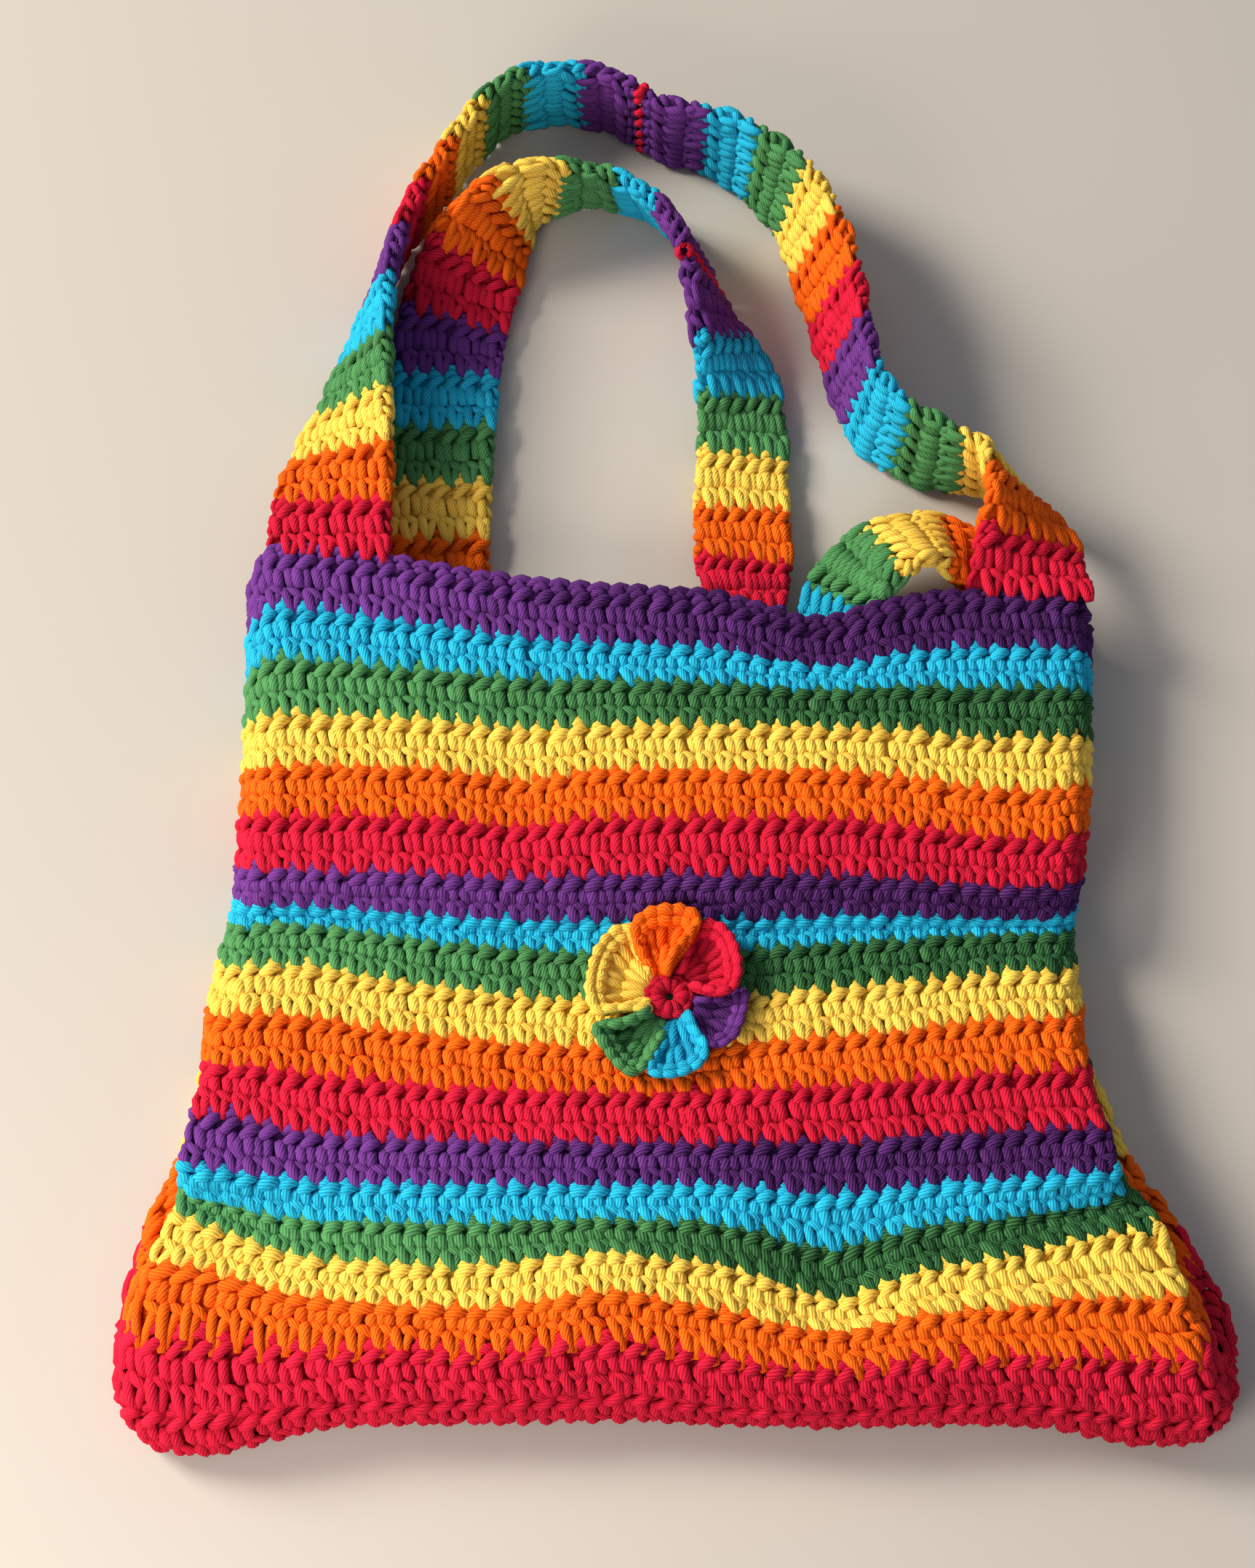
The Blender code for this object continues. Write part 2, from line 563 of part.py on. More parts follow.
def flower_centre(collection):
    """Round centre with its small eye, sewn down on the front panel."""
    turn = np.linspace(0.0, 2.0 * math.pi, CENTRE_SEGMENTS, endpoint=False)
    base = max(front_height_at(FLOWER_X + FLOWER_CENTRE_RADIUS * math.cos(a),
                               FLOWER_Y + FLOWER_CENTRE_RADIUS * math.sin(a)) for a in turn)
    base += SEAT_GAP
    outer = FLOWER_CENTRE_RADIUS
    rings = ((outer, 0.0), (outer, PETAL_THICK), (0.6 * outer, PETAL_THICK + CENTRE_CROWN),
             (FLOWER_HOLE_RADIUS, PETAL_THICK), (FLOWER_HOLE_RADIUS, 0.0))
    bm = bmesh.new()
    loops = []
    for radius, height in rings:
        loops.append([bm.verts.new((FLOWER_X + radius * math.cos(a),
                                    FLOWER_Y + radius * math.sin(a), base + height))
                      for a in turn])
    for first, second in zip(loops, loops[1:] + loops[:1]):
        link(bm, first, second)
    return finish_object("flower_centre_red", bm, ("red",), collection)


def build():
    """Make every piece of the bag."""
    for item in list(bpy.data.objects):
        bpy.data.objects.remove(item, do_unlink=True)
    collection = bpy.data.collections.new("tote_bag")
    bpy.context.scene.collection.children.link(collection)
    for index in range(len(STRIPE_DEPTH)):
        stripe_band(index, collection)
    strap("front", FRONT_STRAP_ROUTE, FRONT_STRAP_INSET, True, 0.0, collection)
    strap("back", BACK_STRAP_ROUTE, BACK_STRAP_INSET, False, -180.0, collection)
    flower_centre(collection)
    for index in range(PETAL_COUNT):
        petal(index, collection)


build()
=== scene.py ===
"""Looks of a crocheted rainbow tote bag that lies on its back on a pale floor.

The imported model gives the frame: eighteen stripes of the body, two straps and a flower. Each of its
pieces is replaced here by a smooth shell of fabric and by the yarn of its stitches, laid over that
shell as swept strands. A stitch is described once, by the runs of yarn that can be seen of it, in
stitches along the row and in stripes down the fabric, and it is repeated over every surface. X is
the bag's width, Y runs to the strap tops, Z is up, and all sizes are in metres unless a name says
otherwise.
"""

import logging
import math
from dataclasses import dataclass, field
from enum import Enum
from typing import Any

import bpy
import numpy as np
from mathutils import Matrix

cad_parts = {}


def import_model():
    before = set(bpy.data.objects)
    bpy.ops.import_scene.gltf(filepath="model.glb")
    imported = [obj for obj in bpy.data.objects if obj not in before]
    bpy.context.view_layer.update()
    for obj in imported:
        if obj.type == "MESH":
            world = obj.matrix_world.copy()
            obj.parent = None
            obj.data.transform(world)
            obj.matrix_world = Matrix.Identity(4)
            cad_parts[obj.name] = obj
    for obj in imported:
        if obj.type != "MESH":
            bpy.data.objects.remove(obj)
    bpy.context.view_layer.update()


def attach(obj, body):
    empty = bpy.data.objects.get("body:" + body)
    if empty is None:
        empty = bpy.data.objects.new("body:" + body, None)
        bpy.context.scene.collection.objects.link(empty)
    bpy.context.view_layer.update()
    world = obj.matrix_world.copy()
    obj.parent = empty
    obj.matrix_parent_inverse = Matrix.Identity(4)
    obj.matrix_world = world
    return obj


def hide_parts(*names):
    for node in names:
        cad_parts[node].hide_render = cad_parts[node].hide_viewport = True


Numbers = tuple[float, ...]

LOG = logging.getLogger("tote_bag")
MM = 0.001
UP = np.array([0.0, 0.0, 1.0])
FLOOR_CLEAR = 0.0002       # the lowest yarn lies this far over the floor
YARN_WIDE = 1.3            # a strand's width over its height
CURVE_STEPS = 12           # pieces between two points of an open curve
LAST_CELL = 1.001          # taken off a grid's size, it keeps a reading inside the last cell
SHELL_TONE = np.array([-0.25])     # the fabric lies in the shade of its stitches

# Fabric, as in the part
FABRIC = 0.0042
SEAT_GAP = 0.0003


class Colour(Enum):
    """The six yarns of the bag, in the order in which they are worked from the rim."""

    PURPLE = "purple"
    BLUE = "blue"
    GREEN = "green"
    YELLOW = "yellow"
    ORANGE = "orange"
    RED = "red"


def linear(hex_colour: str) -> tuple[float, float, float, float]:
    """Turn an sRGB hex colour into linear values.

    Args:
        hex_colour: six hex digits after a hash sign.

    Returns:
        Red, green, blue and an alpha of 1, by the sRGB curve (a 2.4 power above 0.04045).
    """
    parts = [int(hex_colour[i:i + 2], 16) / 255.0 for i in (1, 3, 5)]
    red, green, blue = (c / 12.92 if c <= 0.04045 else ((c + 0.055) / 1.055) ** 2.4 for c in parts)
    return red, green, blue, 1.0


def add_node(tree: bpy.types.NodeTree, kind: str, settings: dict[str, Any] | None = None,
             inputs: dict[Any, Any] | None = None) -> bpy.types.Node:
    """Add a node, set its properties, and give each named input a value or a link.

    Args:
        tree: the material's or world's node tree.
        kind: the node's type name.
        settings: property values of the node.
        inputs: input name or index to a socket to link from, or to a plain value.

    Returns:
        The new node.
    """
    node = tree.nodes.new(kind)
    for key, value in (settings or {}).items():
        setattr(node, key, value)
    for key, value in (inputs or {}).items():
        if isinstance(value, bpy.types.NodeSocket):
            tree.links.new(value, node.inputs[key])
        else:
            node.inputs[key].default_value = value
    return node


def link_object(name: str, data: bpy.types.ID) -> bpy.types.Object:
    """Make an object and put it in the scene.

    Args:
        name: the object's name.
        data: its mesh, camera or light.

    Returns:
        The object, at the origin.
    """
    item = bpy.data.objects.new(name, data)
    bpy.context.scene.collection.objects.link(item)
    return item


def unit(vectors: np.ndarray) -> np.ndarray:
    """Scale vectors to length 1.

    Args:
        vectors: vectors along the last axis.

    Returns:
        Each vector over its length.
    """
    length = np.linalg.norm(vectors, axis=-1, keepdims=True)
    return vectors / np.maximum(length, 1e-12)


def run_length(points: np.ndarray) -> np.ndarray:
    """Measure the length along paths up to each point.

    Args:
        points: places, with the last axis but one along a path.

    Returns:
        The sum of the steps before each point, from 0.
    """
    steps = np.linalg.norm(np.diff(points, axis=-2), axis=-1).cumsum(axis=-1)
    return np.concatenate([np.zeros_like(points[..., :1, 0]), steps], -1)


def walls_between(number: np.ndarray) -> np.ndarray:
    """List the faces between the rings of a tube.

    Args:
        number: vertex numbers, with the last axis round the tube.

    Returns:
        Vertex numbers, as (faces, 4).
    """
    ahead = np.roll(number, -1, axis=-1)
    return np.stack([number[..., :-1, :], number[..., 1:, :], ahead[..., 1:, :],
                     ahead[..., :-1, :]], -1).reshape(-1, 4)


def quad_area(points: np.ndarray, quads: np.ndarray) -> float:
    """Add up the areas of four-cornered faces.

    Args:
        points: vertex places, as (n, 3).
        quads: vertex numbers, as (faces, 4).

    Returns:
        The sum of half the cross product of each face's diagonals.
    """
    a, b, c, d = (points[quads[:, k]] for k in range(4))
    return 0.5 * float(np.linalg.norm(np.cross(c - a, d - b), axis=1).sum())


def read_grid(fields: tuple[np.ndarray, ...], row: np.ndarray,
              column: np.ndarray) -> tuple[np.ndarray, ...]:
    """Read grids of vectors between their four nearest points.

    Args:
        fields: grids of one size, whose columns close to a ring.
        row: where to read down the rows.
        column: where to read along the columns.

    Returns:
        The vectors of each grid, weighted by nearness along rows and columns.
    """
    columns = fields[0].shape[1]
    i = row.astype(int)
    j = column.astype(int) % columns
    k = (j + 1) % columns
    a = (row - i)[..., None]
    b = (column - np.floor(column))[..., None]
    return tuple((1 - a) * ((1 - b) * field[i, j] + b * field[i, k])
                 + a * ((1 - b) * field[i + 1, j] + b * field[i + 1, k]) for field in fields)


def smooth_table(x: np.ndarray, places: Numbers, values: Numbers) -> np.ndarray:
    """Read a table along a smooth curve: a cubic between each two places.

    Args:
        x: where to read.
        places: the table's places, rising.
        values: the value at each place.

    Returns:
        Values at x. The slope at a place is that of the table round it, and x is held to its ends.
    """
    knots = np.asarray(places, float)
    heights = np.asarray(values, float)
    slope = np.gradient(heights, knots)
    x = np.clip(np.asarray(x, float), knots[0], knots[-1])
    i = np.clip(np.searchsorted(knots, x, side="right") - 1, 0, len(knots) - 2)
    step = knots[i + 1] - knots[i]
    t = (x - knots[i]) / step
    rise = heights[i + 1] - heights[i]
    cubic = t * t * (3.0 - 2.0 * t) * rise
    ease = t * (1.0 - t) ** 2 * slope[i] * step - t * t * (1.0 - t) * slope[i + 1] * step
    return heights[i] + cubic + ease


def smooth_between(before: np.ndarray, start: np.ndarray, end: np.ndarray, after: np.ndarray,
                   t: np.ndarray) -> np.ndarray:
    """Catmull-Rom cubic from a start point to an end point.

    Args:
        before: the point before the start.
        start: the start, at t = 0.
        end: the end, at t = 1.
        after: the point after the end.
        t: share of the way.

    Returns:
        Half of 2s + (e - b)t + (2b - 5s + 4e - a)t^2 + (3s - b - 3e + a)t^3.
    """
    return 0.5 * (2.0 * start + (end - before) * t
                  + (2.0 * before - 5.0 * start + 4.0 * end - after) * t ** 2
                  + (3.0 * start - before - 3.0 * end + after) * t ** 3)


def signed_power(wave: np.ndarray, power: float) -> np.ndarray:
    """Square up the wave that makes a round section.

    Args:
        wave: sines or cosines.
        power: 1 for a round section, and less for a squarer one.

    Returns:
        The size of the wave to the power, with the wave's sign.
    """
    return np.sign(wave) * np.abs(wave) ** power


def closed_curve(points: np.ndarray, divisions: int) -> np.ndarray:
    """Smooth closed rings through points.

    Args:
        points: rings of points, as (rings, points, 3).
        divisions: new points for each old one.

    Returns:
        The finer rings, as (rings, points * divisions, 3).
    """
    before, start, end, after = (np.roll(points, k, axis=1)[:, :, None] for k in (1, 0, -1, -2))
    t = (np.arange(divisions) / divisions)[None, None, :, None]
    return smooth_between(before, start, end, after, t).reshape(points.shape[0], -1, 3)


def open_curve(points: np.ndarray, samples: int) -> np.ndarray:
    """Smooth open curve through points, sampled evenly by length.

    Args:
        points: places as (n, 3).
        samples: how many points to give back.

    Returns:
        Places as (samples, 3).
    """
    ends = np.concatenate([2.0 * points[:1] - points[1:2], points,
                           2.0 * points[-1:] - points[-2:-1]])
    before, start, end, after = (ends[k:len(ends) - 3 + k, None] for k in range(4))
    t = np.linspace(0.0, 1.0, CURVE_STEPS, endpoint=False)[None, :, None]
    fine = smooth_between(before, start, end, after, t)
    fine = np.concatenate([fine.reshape(-1, 3), points[-1:]])
    length = run_length(fine)
    where = np.linspace(0.0, length[-1], samples)
    return np.stack([np.interp(where, length, fine[:, k]) for k in range(3)], 1)


@dataclass(frozen=True)
class CottonYarn:
    """Plied cotton yarn, spun and loosely twisted: matt and soft, with a fine rope of plies.

    The crest of each ply takes the lit colour and the groove between two plies the shaded one: the
    yarn's own colour, with painted highlight on the crests and painted shade in the grooves. A little
    sheen stands for the fuzz of loose fibres on the yarn's outline.
    """

    colour: Colour
    lit_crest: str
    shaded_groove: str
    sheen: float = 0.15
    plies: int = 9
    turn_mm: float = 17.0          # length of yarn for one full turn of a ply
    groove_depth: float = 0.00028
    fibre_height: float = 0.8      # height of the fibres, as a share of a ply's
    fibre_stretch: float = 0.35    # how finely they change along the yarn
    contrast: float = 0.72         # share of the lit crest's colour for each step of height, so the grooves take painted shade
    roughness: float = 0.9

    def material(self) -> bpy.types.Material:
        """Build the yarn's material, or find it if it is made already.

        Returns:
            A material that reads the "yarn" UV map: turns round the yarn, and length in mm. The
            height is |sin(pi * (plies * turns + length / turn))|, which is a row of round plies
            with sharp grooves.
        """
        name = f"cotton_yarn_{self.colour.value}_dressed"
        found = bpy.data.materials.get(name)
        if found:
            return found
        material = bpy.data.materials.new(name)
        material.use_nodes = True
        tree = material.node_tree
        tree.nodes.clear()
        place = add_node(tree, "ShaderNodeUVMap", {"uv_map": "yarn"})
        split = add_node(tree, "ShaderNodeSeparateXYZ", inputs={0: place.outputs[0]})
        across = add_node(tree, "ShaderNodeMath", {"operation": "MULTIPLY"},
                          {0: split.outputs[0], 1: float(self.plies)})
        along = add_node(tree, "ShaderNodeMath", {"operation": "MULTIPLY"},
                         {0: split.outputs[1], 1: self.plies / self.turn_mm})
        phase = add_node(tree, "ShaderNodeMath", {"operation": "ADD"},
                         {0: across.outputs[0], 1: along.outputs[0]})
        turned = add_node(tree, "ShaderNodeMath", {"operation": "MULTIPLY"},
                          {0: phase.outputs[0], 1: math.pi})
        wave = add_node(tree, "ShaderNodeMath", {"operation": "SINE"}, {0: turned.outputs[0]})
        ply = add_node(tree, "ShaderNodeMath", {"operation": "ABSOLUTE"}, {0: wave.outputs[0]})
        slow = add_node(tree, "ShaderNodeMath", {"operation": "MULTIPLY"},
                        {0: split.outputs[1], 1: self.fibre_stretch})
        fibre_place = add_node(tree, "ShaderNodeCombineXYZ",
                               inputs={0: phase.outputs[0], 1: slow.outputs[0]})
        fibre = add_node(tree, "ShaderNodeTexNoise", {"noise_dimensions": "2D"},
                         {"Vector": fibre_place.outputs[0], "Scale": 4.0, "Detail": 3.0,
                          "Roughness": 0.65})
        height = add_node(tree, "ShaderNodeMath", {"operation": "MULTIPLY_ADD"},
                          {0: fibre.outputs[0], 1: self.fibre_height, 2: ply.outputs[0]})
        relief = add_node(tree, "ShaderNodeBump", inputs={
            "Strength": 0.75, "Distance": self.groove_depth, "Height": height.outputs[0]})
        tone = add_node(tree, "ShaderNodeAttribute", {"attribute_name": "tone"})
        # painted shade and highlight: the colour runs from the shaded groove's to the lit crest's
        # with the ply's height and the tone
        blend = add_node(tree, "ShaderNodeMath", {"operation": "MULTIPLY_ADD", "use_clamp": True},
                         {0: height.outputs[0], 1: self.contrast, 2: tone.outputs["Fac"]})
        colour = add_node(tree, "ShaderNodeMix", {"data_type": "RGBA"}, {
            0: blend.outputs[0], 6: linear(self.shaded_groove), 7: linear(self.lit_crest)})
        shader = add_node(tree, "ShaderNodeBsdfPrincipled", inputs={
            "Base Color": colour.outputs[2], "Roughness": self.roughness,
            "Specular IOR Level": 0.12, "Sheen Weight": self.sheen, "Sheen Roughness": 0.5,
            "Sheen Tint": linear(self.lit_crest), "Normal": relief.outputs[0]})
        add_node(tree, "ShaderNodeOutputMaterial", inputs={0: shader.outputs[0]})
        return material


# each yarn's lit crest and shaded groove colour: painted highlight and painted shade round its own
# colour
YARNS = {colour: CottonYarn(colour, lit_crest, shaded_groove) for colour, lit_crest, shaded_groove in (
    (Colour.PURPLE, "#713a93", "#270a36"), (Colour.BLUE, "#28c0ea", "#08628f"),
    (Colour.GREEN, "#54985d", "#143a1e"), (Colour.YELLOW, "#ffe062", "#d68c1e"),
    (Colour.ORANGE, "#fc7114", "#c22e03"), (Colour.RED, "#e21f41", "#820820"))}


def hand_over(node: str, slot: str, *pieces: bpy.types.Object) -> None:
    """Put finished pieces on the body in the place of a node, and hide the node.

    Args:
        node: the node that they replace.
        slot: not used.
        pieces: the pieces, of which the first stands for the node.
    """
    for piece in pieces:
        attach(piece, "root")
    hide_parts(node)


class MeshParts:
    """Collects points and faces as whole arrays, and makes one object of them."""

    def __init__(self) -> None:
        """Start with nothing."""
        self.points: list[np.ndarray] = []
        self.faces: list[np.ndarray] = []
        self.uvs: list[np.ndarray] = []
        self.slots: list[np.ndarray] = []
        self.tones: list[np.ndarray] = []
        self.count = 0

    def add(self, points: np.ndarray, faces: np.ndarray, uvs: np.ndarray,
            slot: int | np.ndarray, tone: np.ndarray) -> None:
        """Add points and faces of one size between them.

        Args:
            points: vertex places, as (n, 3).
            faces: vertex numbers from 0, as (faces, corners).
            uvs: a place in the yarn map for each corner, as (faces, corners, 2).
            slot: number of the material, for all faces or for each.
            tone: a lightness shift for each vertex.
        """
        self.points.append(points.reshape(-1, 3))
        self.tones.append(np.broadcast_to(tone, (len(self.points[-1]),)))
        self.close(faces + self.count, uvs, slot)
        self.count += len(self.points[-1])

    def close(self, faces: np.ndarray, uvs: np.ndarray, slot: int | np.ndarray) -> None:
        """Add faces between points that are there, such as lids.

        Args:
            faces: the points' final numbers, as (faces, corners).
            uvs: a place in the yarn map for each corner.
            slot: number of the material, for all faces or for each.
        """
        self.faces.append(faces)
        self.uvs.append(uvs.reshape(-1, 2))
        self.slots.append(np.full(len(faces), slot))

    def build(self, name: str, colours: tuple[Colour, ...]) -> bpy.types.Object:
        """Make the object.

        Args:
            name: the object's name.
            colours: the yarn of each material slot.

        Returns:
            A smooth shaded mesh object at the origin.
        """
        mesh = bpy.data.meshes.new(name)
        points = np.concatenate(self.points)
        points[:, 2] = np.maximum(points[:, 2], FLOOR_CLEAR)
        corners = np.concatenate([faces.ravel() for faces in self.faces])
        sizes = np.concatenate([np.full(len(faces), faces.shape[1]) for faces in self.faces])
        mesh.vertices.add(len(points))
        mesh.vertices.foreach_set("co", points.astype(np.float32).ravel())
        mesh.loops.add(len(corners))
        mesh.loops.foreach_set("vertex_index", corners.astype(np.int32))
        mesh.polygons.add(len(sizes))
        starts = np.concatenate([[0], np.cumsum(sizes)[:-1]])
        mesh.polygons.foreach_set("loop_start", starts.astype(np.int32))
        mesh.polygons.foreach_set("material_index", np.concatenate(self.slots).astype(np.int32))
        mesh.polygons.foreach_set("use_smooth", np.ones(len(sizes), bool))
        uv_map = mesh.uv_layers.new(name="yarn")
        uv_map.data.foreach_set("uv", np.concatenate(self.uvs).astype(np.float32).ravel())
        tone = mesh.attributes.new("tone", "FLOAT", "POINT")
        tone.data.foreach_set("value", np.concatenate(self.tones).astype(np.float32))
        mesh.update(calc_edges=True)
        for colour in colours:
            mesh.materials.append(YARNS[colour].material())
        return link_object(name, mesh)


def sweep(parts: MeshParts, path: np.ndarray, normal: np.ndarray, radius: np.ndarray, sides: int,
          slot: int, tone: np.ndarray, wide: float = YARN_WIDE) -> None:
    """Sweep soft strands of yarn along many paths at once.

    Each strand is a tube: at every station of its path a ring of points lies round it at the given
    radius, in the plane square to the path, and wider across the fabric, where soft yarn spreads
    under its own tension. Its ends are closed.

    Args:
        parts: where the strands go.
        path: places along each strand, as (strands, stations, 3).
        normal: the fabric's outward direction there.
        radius: the yarn's radius there, as (strands, stations).
        sides: 4 or 6 sides to the tube.
        slot: number of the material.
        tone: a lightness shift for each strand.
        wide: how many times wider than its radius the yarn lies.
    """
    strands, stations = path.shape[:2]
    tangent = unit(np.gradient(path, axis=1))
    side = unit(np.cross(tangent, normal))
    up = np.cross(side, tangent)
    angle = 2.0 * math.pi * np.arange(sides) / sides - 0.5 * math.pi
    ring = (wide * np.cos(angle)[:, None] * side[:, :, None]
            + np.sin(angle)[:, None] * up[:, :, None])
    points = path[:, :, None] + radius[:, :, None, None] * ring
    number = np.arange(strands * stations * sides).reshape(strands, stations, sides)
    length = np.broadcast_to(run_length(path)[:, :, None] / MM, number.shape)
    turn = np.broadcast_to(np.arange(sides) / sides, number.shape)
    near_uv = np.stack([turn, length], -1)
    far_uv = np.stack([turn + 1.0 / sides, length], -1)
    wall_uv = np.stack([near_uv[:, :-1], near_uv[:, 1:], far_uv[:, 1:], far_uv[:, :-1]], 3)
    base = parts.count
    parts.add(points, walls_between(number), wall_uv, slot, np.repeat(tone, stations * sides))
    caps = ((0, 1, 2, 3), (0, 3, 4, 5)) if sides == 6 else ((0, 1, 2, 3),)
    for corners in caps:
        for station, order in ((0, corners), (stations - 1, corners[::-1])):
            parts.close(number[:, station][:, list(order)] + base,
                        near_uv[:, station][:, list(order)], slot)


@dataclass(frozen=True)
class Strand:
    """One run of yarn that shows in a stitch.

    Each point is stitches along the row, stripes down, mm over the fabric, and the yarn's radius
    in mm.
    """

    points: tuple[tuple[float, float, float, float], ...]


# A double row of half double crochet, as it shows on the right side
CAP_UPPER = Strand(((-0.20, 0.05, -0.2, 0.9), (-0.07, 0.00, 0.8, 1.2), (0.07, 0.00, 0.8, 1.2),
                    (0.20, 0.05, -0.2, 0.9)))
CAP_LOWER = Strand(((-0.36, 0.18, -0.3, 1.0), (-0.18, 0.12, 0.9, 1.3), (0.0, 0.09, 1.2, 1.35),
                    (0.18, 0.11, 0.9, 1.3), (0.34, 0.17, -0.2, 1.0)))
RIDGE = Strand(((-0.33, 0.45, -0.4, 1.1), (-0.18, 0.385, 1.1, 1.5), (0.02, 0.31, 1.8, 1.6),
                (0.22, 0.24, 1.8, 1.6), (0.42, 0.19, 1.1, 1.4), (0.60, 0.165, -0.3, 1.0)))
POST_LEFT = Strand(((-0.44, 0.38, 0.2, 1.4), (-0.37, 0.49, 1.0, 1.65), (-0.29, 0.61, 1.1, 1.65),
                    (-0.20, 0.74, 0.3, 1.3)))
POST_RIGHT = Strand(((0.08, 0.37, 0.2, 1.4), (0.12, 0.48, 1.1, 1.6), (0.17, 0.60, 1.0, 1.6),
                     (0.24, 0.73, 0.3, 1.3)))
DROP_LEFT = Strand(((0.06, 0.71, 0.0, 1.15), (0.14, 0.82, 1.3, 1.45), (0.25, 0.95, 1.8, 1.5),
                    (0.37, 1.07, 1.6, 1.4), (0.49, 1.17, 0.7, 1.05)))
DROP_RIGHT = Strand(((0.72, 0.80, 0.4, 1.15), (0.70, 0.92, 1.2, 1.35), (0.66, 1.04, 1.3, 1.3),
                     (0.58, 1.165, 0.6, 0.95)))
LINK = Strand(((0.17, 0.73, 0.1, 1.05), (0.42, 0.77, 1.0, 1.3), (0.66, 0.80, 1.2, 1.35),
               (0.88, 0.85, 0.9, 1.2), (1.04, 0.93, -0.1, 0.95)))
FULL_STITCH = (CAP_UPPER, CAP_LOWER, RIDGE, POST_LEFT, POST_RIGHT, DROP_LEFT, DROP_RIGHT, LINK)
PLAIN_STITCH = (RIDGE, POST_LEFT, POST_RIGHT, DROP_LEFT, DROP_RIGHT)

# The chain of loops along the rim: one towards the outside and one towards the inside
RIM_OUTER = Strand(((-0.62, 0.08, -0.7, 0.9), (-0.34, -0.01, 0.1, 1.15), (0.0, -0.06, 0.3, 1.2),
                    (0.34, -0.05, -0.2, 1.1), (0.56, 0.02, -1.0, 0.85)))
RIM_INNER = Strand(((-0.60, 0.03, -3.8, 0.9), (-0.32, -0.05, -3.0, 1.15), (0.0, -0.07, -2.7, 1.2),
                    (0.34, -0.04, -3.0, 1.1), (0.60, 0.04, -3.9, 0.85)))


def draw(source: np.random.Generator, shape: tuple[int, int]) -> np.ndarray:
    """Draw values of a normal spread of 1.

    Args:
        source: the seeded source.
        shape: rows and columns of values.

    Returns:
        The values, none further than 2 from 0.
    """
    return source.normal(0.0, 1.0, shape).clip(-2.0, 2.0)


@dataclass
class Wobble:
    """How unevenly the stitches are worked: spreads of place, height and thickness."""

    along: float = 0.045           # stitches
    down: float = 0.016            # stripes
    height_mm: float = 0.16
    thickness: float = 0.07        # share of the radius
    tone: float = 0.09
    lean: float = 0.22             # stitches along for each stripe down
    stitch_along: float = 0.05     # the same for a whole stitch, in stitches
    stitch_down: float = 0.018     # and in stripes

    def places(self, source: np.random.Generator, stitches: np.ndarray,
               start: float) -> tuple[np.ndarray, np.ndarray]:
        """Draw where whole stitches sit.

        Args:
            source: the seeded source.
            stitches: even places along the row.
            start: where the row starts, in stripes.

        Returns:
            Uneven places along the row, and where each stitch starts.
        """
        shift = draw(source, (2, len(stitches)))
        return stitches + self.stitch_along * shift[0], start + self.stitch_down * shift[1]

    def spread(self, source: np.random.Generator, strands: int) -> np.ndarray:
        """Draw the shifts.

        Args:
            source: the seeded source.
            strands: how many strands need them.

        Returns:
            Shifts of the four columns of a strand's points, of its tone and of its lean, as
            (strands, 6).
        """
        scale = np.array([self.along, self.down, self.height_mm, self.thickness, self.tone,
                          self.lean])
        return draw(source, (strands, len(scale))) * scale


class Surface:
    """A fabric surface that stitches are laid on. Subclasses give places and normals."""

    def at(self, along: np.ndarray, down: np.ndarray,
           lift: np.ndarray | float) -> tuple[np.ndarray, np.ndarray]:
        """Find places on the surface.

        Args:
            along: stitches along the row.
            down: stripes down the fabric.
            lift: height over the surface, in metres.

        Returns:
            Places and outward normals.
        """
        raise NotImplementedError

    def painted_shading(self, place: np.ndarray) -> np.ndarray:
        """Painted light and shade on the yarn at each place: none on a plain surface."""
        return np.zeros(len(place))

    def lay(self, parts: MeshParts, strand: Strand, stitches: np.ndarray,
            start: np.ndarray | float, depth: float, sides: int, slot: int, wobble: Wobble,
            source: np.random.Generator, lift_mm: float = 0.0) -> None:
        """Lay one strand of a stitch at many places of a row.

        Args:
            parts: where the yarn goes.
            strand: the run of yarn.
            stitches: places along the row.
            start: where the row starts, in stripes, as one value or one for each stitch.
            depth: how deep the stripe is, in stripes, or less than 0 to work upwards.
            sides: 4 or 6 sides to the yarn.
            slot: number of the material.
            wobble: how uneven the work is.
            source: the seeded source.
            lift_mm: height added to the whole strand.
        """
        table = np.array(strand.points)
        shift = wobble.spread(source, len(stitches))
        lean = shift[:, 5:6] * (table[:, 1] - table[:, 1].mean())[None]
        along = stitches[:, None] + table[None, :, 0] + shift[:, 0:1] + lean
        down = np.reshape(start, (-1, 1)) + depth * (table[None, :, 1] + shift[:, 1:2])
        height = (table[None, :, 2] + shift[:, 2:3] + lift_mm) * MM
        radius = table[None, :, 3] * (1.0 + shift[:, 3:4]) * MM
        place, normal = self.at(along, down, height)
        # the tone is a random shift plus the painted light and shade across the body
        sweep(parts, place, normal, radius, sides, slot, shift[:, 4] + self.painted_shading(place.mean(1)))


